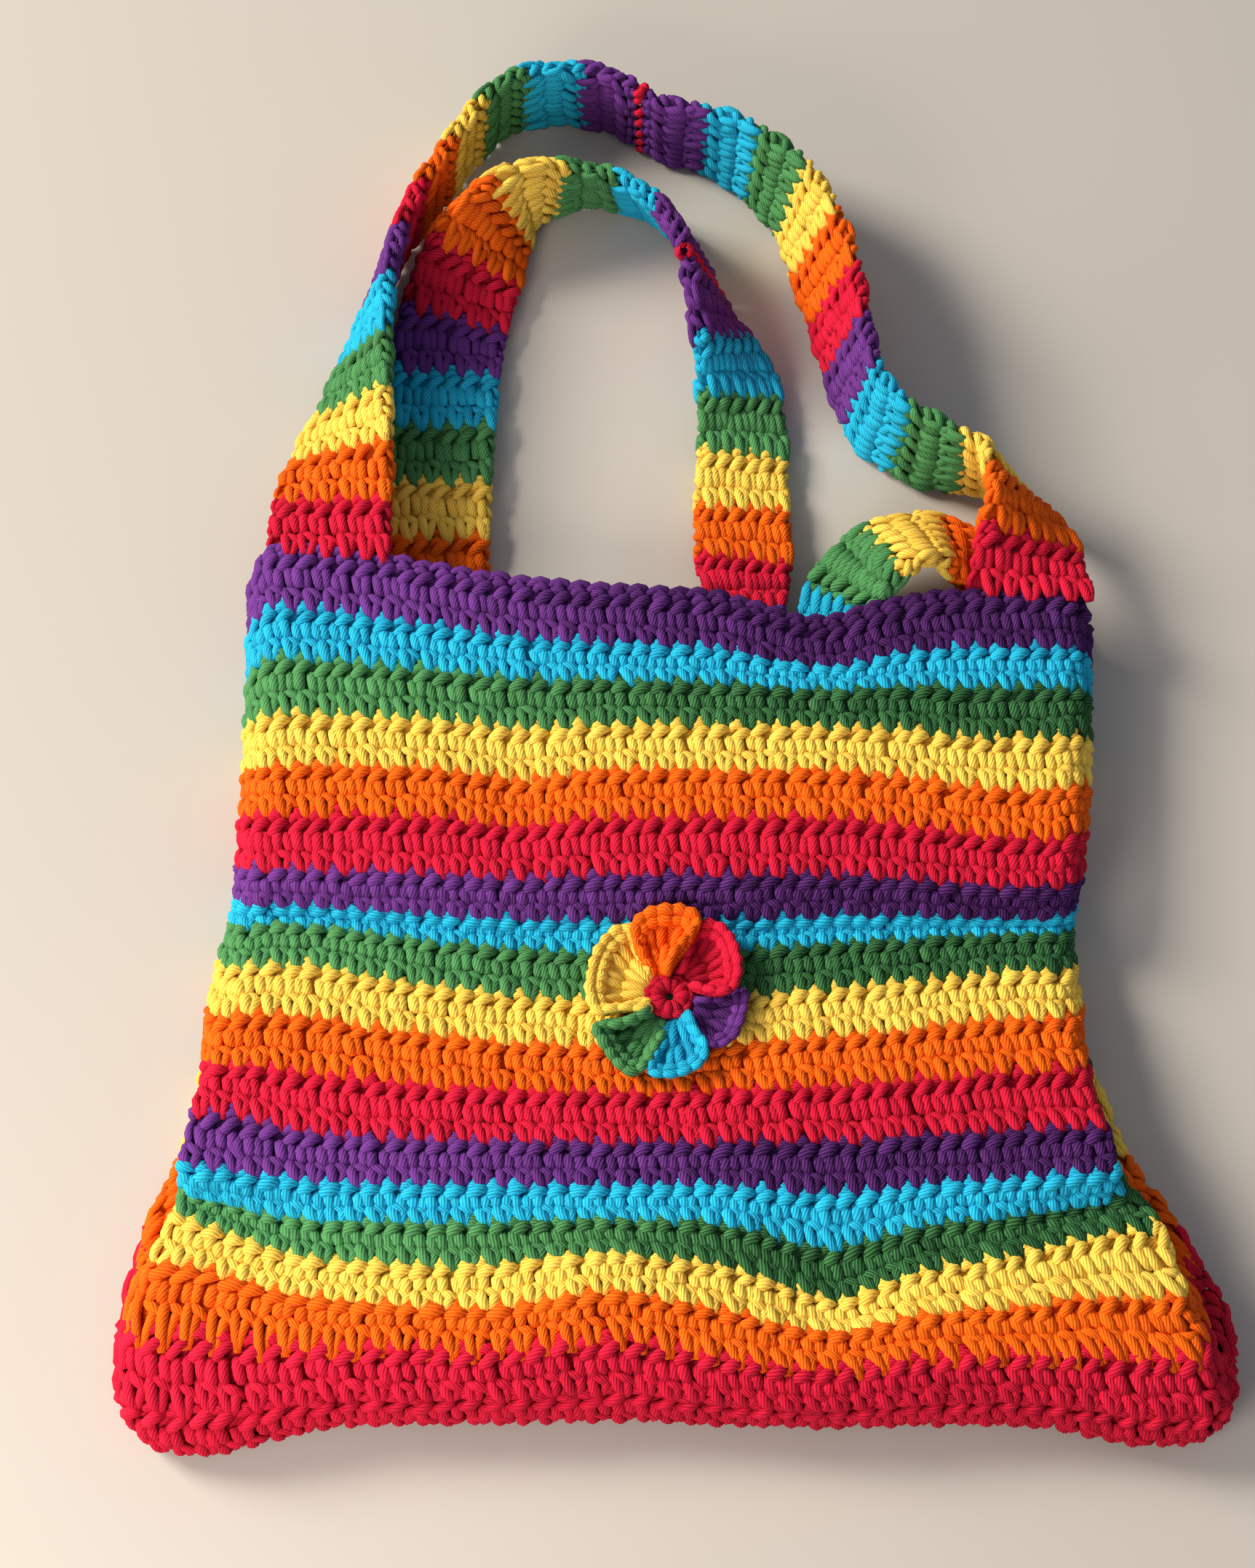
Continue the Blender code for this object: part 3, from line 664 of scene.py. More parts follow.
@dataclass
class BodyShape:
    """The limp body as it lies: a flattened tube, closed at its lower end.

    The sizes are the part's, but for the sides' lower edges and the tuck between front and back,
    which show the photograph's stripes at the sides. A fold is place across, stripe, half width
    across, half depth in stripes, how far the stripes run up and how far the fabric rises.
    """

    stripe_depth: Numbers = (
        0.0200, 0.0143, 0.0163, 0.0171, 0.0170, 0.0211, 0.0128, 0.0094, 0.0171,
        0.0177, 0.0174, 0.0190, 0.0154, 0.0120, 0.0132, 0.0143, 0.0119, 0.0190)
    front_rim_y: float = 0.0285
    back_rim_y: float = 0.0190
    back_close: float = 15.0
    back_close_y: float = -0.1620
    back_bottom_y: float = -0.2000
    nose_round: float = 0.0035
    nose_height: float = 0.0065
    edge_at: Numbers = (0, 4, 8, 9.5, 11, 12, 14, 15, 16, 17, 17.5, 18)
    front_right: Numbers = (
        0.1500, 0.1445, 0.1350, 0.1350, 0.1375, 0.1420, 0.1430, 0.1530, 0.1600, 0.1640, 0.1680,
        0.1640)
    low_right: Numbers = (
        0.1500, 0.1445, 0.1350, 0.1345, 0.1350, 0.1362, 0.1385, 0.1412, 0.1508, 0.1590, 0.1775,
        0.1650)
    front_left: Numbers = (
        -0.1520, -0.1495, -0.1510, -0.1545, -0.1575, -0.1590, -0.1605, -0.1610, -0.1665, -0.1715,
        -0.1730, -0.1680)
    low_left: Numbers = (
        -0.1520, -0.1495, -0.1510, -0.1540, -0.1560, -0.1570, -0.1590, -0.1602, -0.1655, -0.1695,
        -0.1780, -0.1680)
    ledge_height: float = 0.0125
    low_y_at: Numbers = (9.5, 12, 14.6, 15, 16, 17, 17.5, 18)
    low_y: Numbers = (
        -0.0985, -0.1180, -0.1350, -0.1380, -0.1680, -0.1890, -0.2260, -0.2500)
    step_at: tuple[float, float] = (9.0, 13.0)
    tuck_at: Numbers = (10.5, 12.0, 16.0, 17.0)
    tuck: Numbers = (0.0, 0.0120, 0.0130, 0.0)       # of the fold between two layers
    ledge_share: Numbers = (0.0, 0.0, 0.4, 0.8, 1.0, 1.0)
    tuck_share: Numbers = (0.0, 0.6, 1.0, 0.8, 0.2, 0.0)
    ledge_shift: Numbers = (-0.0030, 0.0005, 0.0, 0.0, 0.0, -0.0042)
    rise_share: Numbers = (0.05, 0.2, 0.55, 0.9, 1.0, 1.0)
    back_share: Numbers = (0.0, 0.1, 0.3, 0.5, 0.7, 0.85)
    foot_share: Numbers = (0.92, 0.48, 0.03)     # heights under the ledge
    back_fillet: float = 0.15      # share of half the width in which the back's edge rounds off
    back_least: float = 0.25
    row_ridge: float = 0.0011
    side_round: float = 0.0120
    side_inset: float = 0.0036
    side_turn: Numbers = (75.0, 45.0, 15.0, -15.0, -45.0, -75.0)
    height_at: Numbers = (0, 2, 5, 6.3, 7.6, 9, 11, 13, 15, 16.5, 17)
    front_height: Numbers = (
        0.0300, 0.0290, 0.0285, 0.0270, 0.0185, 0.0230, 0.0280, 0.0310, 0.0300, 0.0290, 0.0275)
    folds: tuple[Numbers, ...] = (
        (-0.146, 0.0, 0.080, 2.6, 0.0190, 0.0),
        (0.052, 0.2, 0.026, 1.6, -0.0105, -0.0020),
        (-0.054, 4.5, 0.018, 1.6, -0.0034, -0.0025),
        (0.119, 4.8, 0.040, 2.2, -0.0087, 0.0),
        (-0.136, 9.3, 0.045, 2.4, 0.0083, 0.0),
        (0.124, 9.8, 0.050, 2.6, 0.0067, -0.0020),
        (-0.016, 9.2, 0.060, 2.4, -0.0047, 0.0),
        (0.048, 15.0, 0.022, 1.6, -0.0094, -0.0050),
        (-0.022, 16.2, 0.026, 1.5, 0.0052, 0.0035),
        (0.134, 15.2, 0.030, 1.2, 0.0050, 0.0),
        (-0.151, 13.0, 0.030, 1.0, 0.0, 0.0035),
        (0.129, 13.0, 0.030, 1.0, 0.0, 0.0035),
        (-0.150, 14.3, 0.045, 0.6, 0.0, -0.0040),
        (0.134, 14.3, 0.045, 0.6, 0.0, -0.0040),
        (-0.165, 15.3, 0.034, 1.9, 0.0160, 0.0),
        (-0.155, 11.9, 0.026, 0.8, 0.0065, 0.0),
        (-0.125, 16.4, 0.050, 0.9, 0.0035, 0.0),
        (0.160, 14.6, 0.040, 1.3, 0.0085, 0.0),
        (0.040, 17.0, 0.030, 0.7, -0.0035, 0.0),
        (-0.152, 18.0, 0.030, 0.7, -0.0115, 0.0),
        (0.150, 18.0, 0.026, 0.8, -0.0070, 0.0))
    front_columns: int = 41
    back_columns: int = 25

    @property
    def last(self) -> int:
        """Number of the closed stripe at the bottom."""
        return len(self.stripe_depth) - 1

    def fold_sum(self, x: np.ndarray, stripe: np.ndarray, column: int) -> np.ndarray:
        """Add up the folds, each a bell curve across times a bell curve along the stripes.

        Args:
            x: places across.
            stripe: stripe numbers.
            column: which of a fold's values is added up.

        Returns:
            The sum at each place.
        """
        total = np.zeros(np.broadcast(x, stripe).shape)
        for fold in self.folds:
            across = np.exp(-((x - fold[0]) / fold[2]) ** 2)
            total += fold[column] * across * np.exp(-((stripe - fold[1]) / fold[3]) ** 2)
        return total

    def stripe_y(self, stripe: np.ndarray) -> np.ndarray:
        """Y of the front panel's middle line at a stripe number."""
        edges = self.front_rim_y - np.concatenate([[0.0], np.cumsum(self.stripe_depth)])
        return smooth_table(stripe, tuple(range(len(edges))), tuple(edges))

    def nose(self, stripe: np.ndarray) -> np.ndarray:
        """Angle of the turn at the bottom, a quarter turn at the last stripe's end."""
        return 0.5 * math.pi * np.clip(stripe - self.last, 0.0, 1.0)

    def front_y(self, x: np.ndarray, stripe: np.ndarray) -> np.ndarray:
        """Y of the front panel: the stripe's line, run up or down by the folds."""
        drawn = self.stripe_depth[self.last] * np.sin(self.nose(stripe))
        return self.stripe_y(np.minimum(stripe, self.last)) - drawn + self.fold_sum(x, stripe, 4)

    def front_z(self, x: np.ndarray, stripe: np.ndarray) -> np.ndarray:
        """Height of the front panel, turned down round the nose at the bottom.

        Args:
            x: places across.
            stripe: stripe numbers.

        Returns:
            The stripe's height and its folds, times the cosine of the turn over the nose's height.
        """
        height = (smooth_table(stripe, self.height_at, self.front_height)
                  + self.fold_sum(x, stripe, 5))
        return self.nose_height + (height - self.nose_height) * np.cos(self.nose(stripe))

    def back_y(self, stripe: np.ndarray) -> np.ndarray:
        """Y of the back panel, whose rows lie closer than the front's.

        Args:
            stripe: stripe numbers.

        Returns:
            Y at each, along straight lines between the rim, the close and the bottom.
        """
        bottom = float(self.stripe_y(np.array([self.last]))[0])
        bottom += self.nose_round - self.stripe_depth[self.last]
        return np.interp(stripe, (0, self.back_close, self.last, self.last + 1),
                         (self.back_rim_y, self.back_close_y, self.back_bottom_y, bottom))

    def side_points(self, stripe: np.ndarray, side: float) -> np.ndarray:
        """Points down one side fold, a round fold blended towards a stepped one.

        Args:
            stripe: stripe numbers, as (rows, 1).
            side: 1 on the right and -1 on the left.

        Returns:
            Points as (rows, places, 3).
        """
        fronts, lows = ((self.front_right, self.low_right) if side > 0.0
                        else (self.front_left, self.low_left))
        front_edge = smooth_table(stripe, self.edge_at, fronts)
        edge = smooth_table(stripe, self.edge_at, lows)
        ledge = side * (edge - front_edge)
        height = self.front_z(front_edge, stripe)
        step = np.interp(stripe, self.step_at, (0.0, 1.0)) * np.cos(self.nose(stripe))
        low = np.minimum(self.ledge_height, height)
        radius = np.minimum(self.side_round, 0.5 * height)
        turn = np.radians(self.side_turn)[None]
        plain_x = edge - side * radius * (1.0 - np.cos(turn))
        plain_z = 0.5 * height * (1.0 + np.sin(turn))
        tuck = np.interp(stripe, self.tuck_at, self.tuck)
        step_x = front_edge + side * (ledge * np.array(self.ledge_share)
                                      - tuck * np.array(self.tuck_share)
                                      + np.array(self.ledge_shift))
        step_z = np.concatenate([height - self.row_ridge, 0.5 * (height + low), low,
                                 low * np.array(self.foot_share)], 1)
        x = plain_x + step * (step_x - plain_x)
        z = plain_z + step * (step_z - plain_z)
        start = self.front_y(front_edge, stripe)
        rise = smooth_table(stripe, self.low_y_at, self.low_y) - start
        y = start + np.array(self.rise_share) * rise * step
        y = y + np.array(self.back_share) * (1.0 - step) * (self.back_y(stripe) - start)
        return np.stack([x, y, z], -1)

    def rings(self, stripes: np.ndarray) -> np.ndarray:
        """Rings round the body, from the front's left to its right, and back underneath.

        Args:
            stripes: stripe numbers, one for each ring.

        Returns:
            Points as (rings, points, 3).
        """
        s = stripes[:, None]
        right = self.side_points(s, 1.0)
        left = self.side_points(s, -1.0)
        half = 0.5 * (right[:, -1:, 0] - left[:, -1:, 0])
        centre = 0.5 * (right[:, -1:, 0] + left[:, -1:, 0])
        share = np.linspace(0.0, 1.0, self.front_columns)[None]
        first = left[:, :1, 0] + self.side_inset
        front_x = first + share * (right[:, :1, 0] - self.side_inset - first)
        front = np.stack([front_x, self.front_y(front_x, s), self.front_z(front_x, s)], -1)
        share = np.linspace(0.0, 1.0, self.back_columns)[None]
        first = right[:, -1:, 0] - 2.0 * self.side_inset
        back_x = first + share * (left[:, -1:, 0] + 2.0 * self.side_inset - first)
        inward = np.minimum(back_x - back_x[:, -1:], back_x[:, :1] - back_x)
        blend = np.clip(inward / (self.back_fillet * half), self.back_least, 1.0)
        ends = np.where(back_x > centre, right[:, -1:, 1], left[:, -1:, 1])
        back = np.stack([back_x, ends + blend * (self.back_y(s) - ends),
                         np.zeros_like(back_x)], -1)
        return np.concatenate([front, right, back, left[:, ::-1]], 1)


class BodySurface(Surface):
    """The body's surface on a fine grid of stitches round and stripes down.

    A stitch number of 0 is the middle of the front panel, and the numbers run right round the bag.
    """

    STITCHES = 96
    COLUMNS = 6                # grid columns in a stitch
    SHADING_FROM = (-0.11, 0.04)   # places across between which the painted light on the left turns to painted shade on the right
    SHADING_SHARE = (0.3, -1.0)    # its lightness at these two places, times the strength of the painted light and shade
    ROWS = 8                   # grid rows in a stripe
    ABOVE = 2                  # rows past the rim
    BELOW = 4                  # rows past the last stripe, round to the floor
    FINE = 12
    REST_SINK = 0.0016         # how far the yarn is pressed into the fabric that it lies on
    PITCH_AT = (0, 4, 8, 12, 15, 16, 17, 18)
    PITCH = (0.00715, 0.0069, 0.00655, 0.0066, 0.0067, 0.0070, 0.0074, 0.0077)

    def __init__(self, shape: BodyShape) -> None:
        """Work out the grid.

        Args:
            shape: the body's sizes.
        """
        self.shape = shape
        stripes = np.arange((shape.last + 1) * self.ROWS + 1) / self.ROWS
        rings = closed_curve(shape.rings(stripes), self.FINE)
        middle = (shape.front_columns // 2) * self.FINE
        rings = np.roll(rings, -middle, axis=1)
        closed = np.concatenate([rings, rings[:, :1]], 1)
        length = run_length(closed)
        self.length = length[:, -1]
        # no painted light or shade until a stripe sets its strength
        self.painted_shading_strength = 0.0
        pitch = smooth_table(stripes, self.PITCH_AT, self.PITCH)
        half_front = length[:, middle]
        edge = half_front / pitch
        back_pitch = (0.5 * self.length - half_front) / (0.5 * self.STITCHES - edge)
        number = np.arange(self.STITCHES * self.COLUMNS) / self.COLUMNS
        number = np.where(number > 0.5 * self.STITCHES, number - self.STITCHES, number)
        reach = np.abs(number)[None]
        along = np.where(reach < edge[:, None], reach * pitch[:, None],
                         half_front[:, None] + (reach - edge[:, None]) * back_pitch[:, None])
        along = np.sign(number) * along
        along = np.where(along < 0.0, along + self.length[:, None], along)
        grid = np.stack([
            np.stack([np.interp(along[i], length[i], closed[i, :, k]) for k in range(3)], -1)
            for i in range(len(stripes))])
        down = np.gradient(grid, axis=0)
        across = np.roll(grid, -1, axis=1) - np.roll(grid, 1, axis=1)
        normal = unit(np.cross(down, across))
        self.half_edge = edge
        above = np.arange(-self.ABOVE, 0)[:, None, None]
        top = grid[:1] + above * (grid[1:2] - grid[:1])
        quarter = 0.5 * math.pi * np.arange(1, self.BELOW + 1)[:, None] / self.BELOW
        share = np.clip(grid[-1, :, 2] / shape.nose_height, 0.0, 1.0)[None]
        bottom = np.repeat(grid[-1:], self.BELOW, axis=0)
        bottom[:, :, 1] += share * shape.nose_round * (1.0 - np.cos(quarter))
        bottom[:, :, 2] *= 1.0 - np.sin(quarter)
        under = normal[-1:] * np.cos(quarter)[:, :, None]
        under = unit(under - UP * (share * np.sin(quarter))[:, :, None])
        self.grid = np.concatenate([top, grid, bottom])
        self.normal = np.concatenate([np.repeat(normal[:1], self.ABOVE, axis=0), normal, under])

    def painted_shading(self, place: np.ndarray) -> np.ndarray:
        """Painted light and shade on the yarn: a little lighter on the left, and darker towards the
        right, where the light falls away.
        """
        return self.painted_shading_strength * np.interp(place[:, 0], self.SHADING_FROM, self.SHADING_SHARE)

    def at(self, along: np.ndarray, down: np.ndarray,
           lift: np.ndarray | float) -> tuple[np.ndarray, np.ndarray]:
        """Find places and normals between the four nearest points of the grid.

        Args:
            along: stitches round the bag.
            down: stripes down from the rim.
            lift: height over the surface, in metres.

        Returns:
            Places and outward normals. The yarn is pressed in where the bag rests on the floor.
        """
        column = np.mod(along, self.STITCHES) * self.COLUMNS
        row = np.clip(down * self.ROWS + self.ABOVE, 0.0, len(self.grid) - LAST_CELL)
        column, row = np.broadcast_arrays(column, row)
        place, normal = read_grid((self.grid, self.normal), row, column)
        normal = unit(normal)
        resting = 1.0 - np.clip(place[..., 2] / self.shape.ledge_height, 0.0, 1.0)
        lift = np.broadcast_to(lift, resting.shape) - self.REST_SINK * resting
        return place + lift[..., None] * normal, normal


@dataclass
class ToteBody:
    """The eighteen stripes: for each a shell of fabric and the yarn of its stitches.

    The purple, green and red yarns carry painted light and shade across the bag: a little lighter on
    the left and darker towards the right.
    """

    surface: BodySurface
    shell_lift: float = -0.0009
    yarn_lift_mm: float = -0.6
    shell_rows: int = 4
    shell_step: int = 2            # grid columns between two columns of the shell
    full_reach: float = 2.5        # stitches past the front's edge that are worked in full
    inner_lift_mm: float = -5.6    # of the stitches that show inside the mouth
    # strength of each yarn's painted light and shade: lighter on the left, darker on the right
    painted_shading_strength: dict[Colour, float] = field(default_factory=lambda: {
        Colour.PURPLE: 0.5, Colour.GREEN: 0.5, Colour.RED: 0.15})
    wobble: Wobble = field(default_factory=Wobble)

    def colour(self, stripe: int) -> Colour:
        """The yarn of a stripe."""
        return list(Colour)[stripe % len(Colour)]

    def shell(self, stripe: int) -> tuple[MeshParts, float]:
        """Make the smooth shell of one stripe: an outer and an inner wall with closed edges.

        Args:
            stripe: number of the stripe.

        Returns:
            The mesh parts, and the area of the cloth's middle in square metres.
        """
        surface = self.surface
        closed = stripe == surface.shape.last
        down = stripe + np.linspace(0.0, 1.0, self.shell_rows + 1)
        columns = surface.STITCHES * surface.COLUMNS // self.shell_step
        along = np.arange(columns) * self.shell_step / surface.COLUMNS
        outer = surface.at(along[None], down[:, None], self.shell_lift)[0]
        inner = surface.at(along[None], down[:, None], self.shell_lift - FABRIC)[0]
        inner[..., 2] = np.maximum(inner[..., 2], FLOOR_CLEAR + 0.5 * FABRIC)
        rows = len(down)
        number = np.arange(rows * columns).reshape(rows, columns)
        ahead = np.roll(number, -1, axis=1)
        wall = walls_between(number)
        under = rows * columns
        top = np.stack([number[0], ahead[0], ahead[0] + under, number[0] + under], -1)
        faces = [wall, wall[:, ::-1] + under, top]
        if closed:
            half = columns // 2
            first = np.arange(-(half // 2) + 1, half // 2 - 1)
            pair = np.where(first >= 0, half - first, -half - first)
            following = np.where(first + 1 >= 0, half - first - 1, -half - first - 1)
            lid = np.stack([first, pair, following, first + 1], -1) % columns + number[-1, 0]
            faces += [lid, lid[:, ::-1] + under]
            ends = np.array([[half // 2 - 1, half // 2 + 1, half // 2],
                             [-(half // 2), -(half // 2) - 1, -(half // 2) + 1]]) % columns
            ends = ends + number[-1, 0]
        else:
            faces.append(np.stack([number[-1], number[-1] + under, ahead[-1] + under,
                                   ahead[-1]], -1))
        points = np.concatenate([outer.reshape(-1, 3), inner.reshape(-1, 3)])
        turns = np.linspace(0.0, 2.0, rows)[:, None] + np.zeros((1, columns))
        yarn = np.zeros((rows, 1)) + along[None] * surface.PITCH[0] / MM
        uv = np.stack([np.tile(turns.ravel(), 2), np.tile(yarn.ravel(), 2)], -1)
        parts = MeshParts()
        quads = np.concatenate(faces)
        parts.add(points, quads, uv[quads], 0, SHELL_TONE)
        if closed:
            corners = np.concatenate([ends, ends[:, ::-1] + under])
            parts.close(corners, uv[corners], 0)
        return parts, 0.5 * quad_area(points, quads)

    def bands(self, stripe: int, front: bool) -> list[tuple[float, float]]:
        """Find the double rows of a stripe.

        Args:
            stripe: number of the stripe.
            front: whether they are on the front or underneath.

        Returns:
            Where each starts and how deep it is. The closed stripe has two double rows on the front
            and three where it folds under, and the others have one.
        """
        if stripe < self.surface.shape.last:
            return [(float(stripe), 1.0)]
        count = 2 if front else 3
        return [(stripe + k / count, 1.0 / count) for k in range(count)]

    def stitches(self, stripe: int, source: np.random.Generator) -> MeshParts:
        """Lay the stitches of one stripe, in full on the front and plainer underneath.

        Args:
            stripe: number of the stripe.
            source: the seeded source.

        Returns:
            The mesh parts.
        """
        surface = self.surface
        # painted light and shade across the stripe, as strong as set for its yarn
        surface.painted_shading_strength = self.painted_shading_strength.get(self.colour(stripe), 0.0)
        parts = MeshParts()
        row = min(stripe * surface.ROWS + surface.ROWS // 2, len(surface.half_edge) - 1)
        edge = surface.half_edge[row] + self.full_reach
        number = np.arange(-surface.STITCHES // 2, surface.STITCHES // 2) + 0.5
        for front, stitch, sides in ((True, FULL_STITCH, 6), (False, PLAIN_STITCH, 4)):
            chosen = number[(np.abs(number) < edge) == front]
            for start, depth in self.bands(stripe, front):
                places, starts = self.wobble.places(source, chosen, start)
                for strand in stitch:
                    surface.lay(parts, strand, places, starts, depth, sides, 0, self.wobble,
                                source, self.yarn_lift_mm)
        if stripe == 0:
            for strand in (RIM_OUTER, RIM_INNER):
                surface.lay(parts, strand, number, 0.0, 1.0, 6, 0, self.wobble, source)
            for strand in (RIDGE, POST_LEFT, POST_RIGHT):
                surface.lay(parts, strand, number, 0.0, 1.0, 4, 0, self.wobble, source,
                            self.inner_lift_mm)
        return parts

    def build(self, source: np.random.Generator) -> None:
        """Make and place every stripe.

        Args:
            source: the seeded source.
        """
        for stripe in range(self.surface.shape.last + 1):
            colour = self.colour(stripe)
            turn = 1 + stripe // len(Colour)
            parts, area = self.shell(stripe)
            fabric = parts.build(f"{colour.value}_fabric_{turn}", (colour,))
            stitches = self.stitches(stripe, source).build(
                f"{colour.value}_stitches_{turn}", (colour,))
            hand_over(f"body_{colour.value}_{turn}", colour.value, fabric, stitches)
            LOG.info("stripe %d: %s, %d triangles of yarn", stripe + 1, colour.value,
                     2 * len(stitches.data.polygons))


class Side(Enum):
    """The two halves of a strap."""

    LEFT = "left"
    RIGHT = "right"


@dataclass
class StrapShape:
    """One strap as it lies.

    The sizes and the route are the part's, but for the tops and the back strap's right leg, which
    lie a little closer to the photograph. A route point is x and y of the middle line, how far the
    lower edge is off the floor, the roll in degrees (0 flat, 90 on edge with the inner edge up) and
    the share of the full width.
    """

    name: str
    on_front: bool
    route: tuple[Numbers, ...]
    insets: tuple[float, float]
    end_roll: float
    width: float = 0.0460
    bands: int = 12
    seam: float = 0.0042
    row_ridge: float = 0.0011


FRONT_STRAP = StrapShape(
    name="front", on_front=True, insets=(0.0280, 0.0220), end_roll=0.0,
    route=(
        (-0.1240, 0.0720, 0.0200, 8, 1.00),
        (-0.1220, 0.0970, 0.0085, 30, 1.00),
        (-0.1190, 0.1210, 0.0030, 46, 0.98),
        (-0.1150, 0.1470, 0.0010, 62, 0.96),
        (-0.1110, 0.1690, 0.0005, 72, 0.94),
        (-0.1020, 0.2000, 0.0005, 78, 0.88),
        (-0.0910, 0.2210, 0.0005, 82, 0.84),
        (-0.0780, 0.2455, 0.0005, 84, 0.82),
        (-0.0640, 0.2620, 0.0005, 85, 0.80),
        (-0.0460, 0.2670, 0.0005, 86, 0.80),
        (-0.0240, 0.2635, 0.0005, 87, 0.82),
        (-0.0040, 0.2495, 0.0005, 88, 0.84),
        (0.0180, 0.2410, 0.0005, 92, 0.86),
        (0.0340, 0.2290, 0.0005, 98, 0.90),
        (0.0500, 0.2090, 0.0005, 105, 0.94),
        (0.0570, 0.1880, 0.0005, 110, 0.98),
        (0.0640, 0.1620, 0.0005, 110, 0.96),
        (0.0680, 0.1380, 0.0005, 106, 0.94),
        (0.0735, 0.1150, 0.0005, 102, 0.94),
        (0.0840, 0.1010, 0.0005, 98, 0.94),
        (0.1010, 0.0910, 0.0010, 92, 0.94),
        (0.1190, 0.0830, 0.0030, 76, 0.94),
        (0.1290, 0.0620, 0.0125, 40, 0.96)))

BACK_STRAP = StrapShape(
    name="back", on_front=False, insets=(0.0650, 0.0260), end_roll=-180.0,
    route=(
        (-0.0895, 0.0480, 0.0003, 1, 1.00),
        (-0.0900, 0.0700, 0.0003, 2, 1.00),
        (-0.0885, 0.1110, 0.0003, 3, 0.98),
        (-0.0850, 0.1580, 0.0003, -8, 0.96),
        (-0.0750, 0.1880, 0.0003, -36, 0.94),
        (-0.0590, 0.2100, 0.0003, -80, 0.90),
        (-0.0400, 0.2190, 0.0005, -104, 0.84),
        (-0.0200, 0.2175, 0.0005, -111, 0.84),
        (-0.0020, 0.2050, 0.0005, -112, 0.86),
        (0.0100, 0.1820, 0.0005, -110, 0.90),
        (0.0170, 0.1580, 0.0005, -124, 0.86),
        (0.0250, 0.1370, 0.0005, -152, 0.80),
        (0.0280, 0.1120, 0.0005, -170, 0.78),
        (0.0270, 0.0860, 0.0010, -176, 0.80),
        (0.0270, 0.0600, 0.0035, -176, 0.82),
        (0.0270, 0.0410, 0.0064, -172, 0.74),
        (0.0310, 0.0250, 0.0084, -174, 0.54),
        (0.0430, 0.0150, 0.0089, -174, 0.48),
        (0.0550, 0.0190, 0.0086, -170, 0.52),
        (0.0620, 0.0320, 0.0094, -166, 0.70),
        (0.0700, 0.0430, 0.0105, -150, 0.84),
        (0.0850, 0.0520, 0.0140, -146, 0.84),
        (0.1020, 0.0520, 0.0095, -150, 0.84),
        (0.1170, 0.0430, 0.0042, -166, 0.84)))


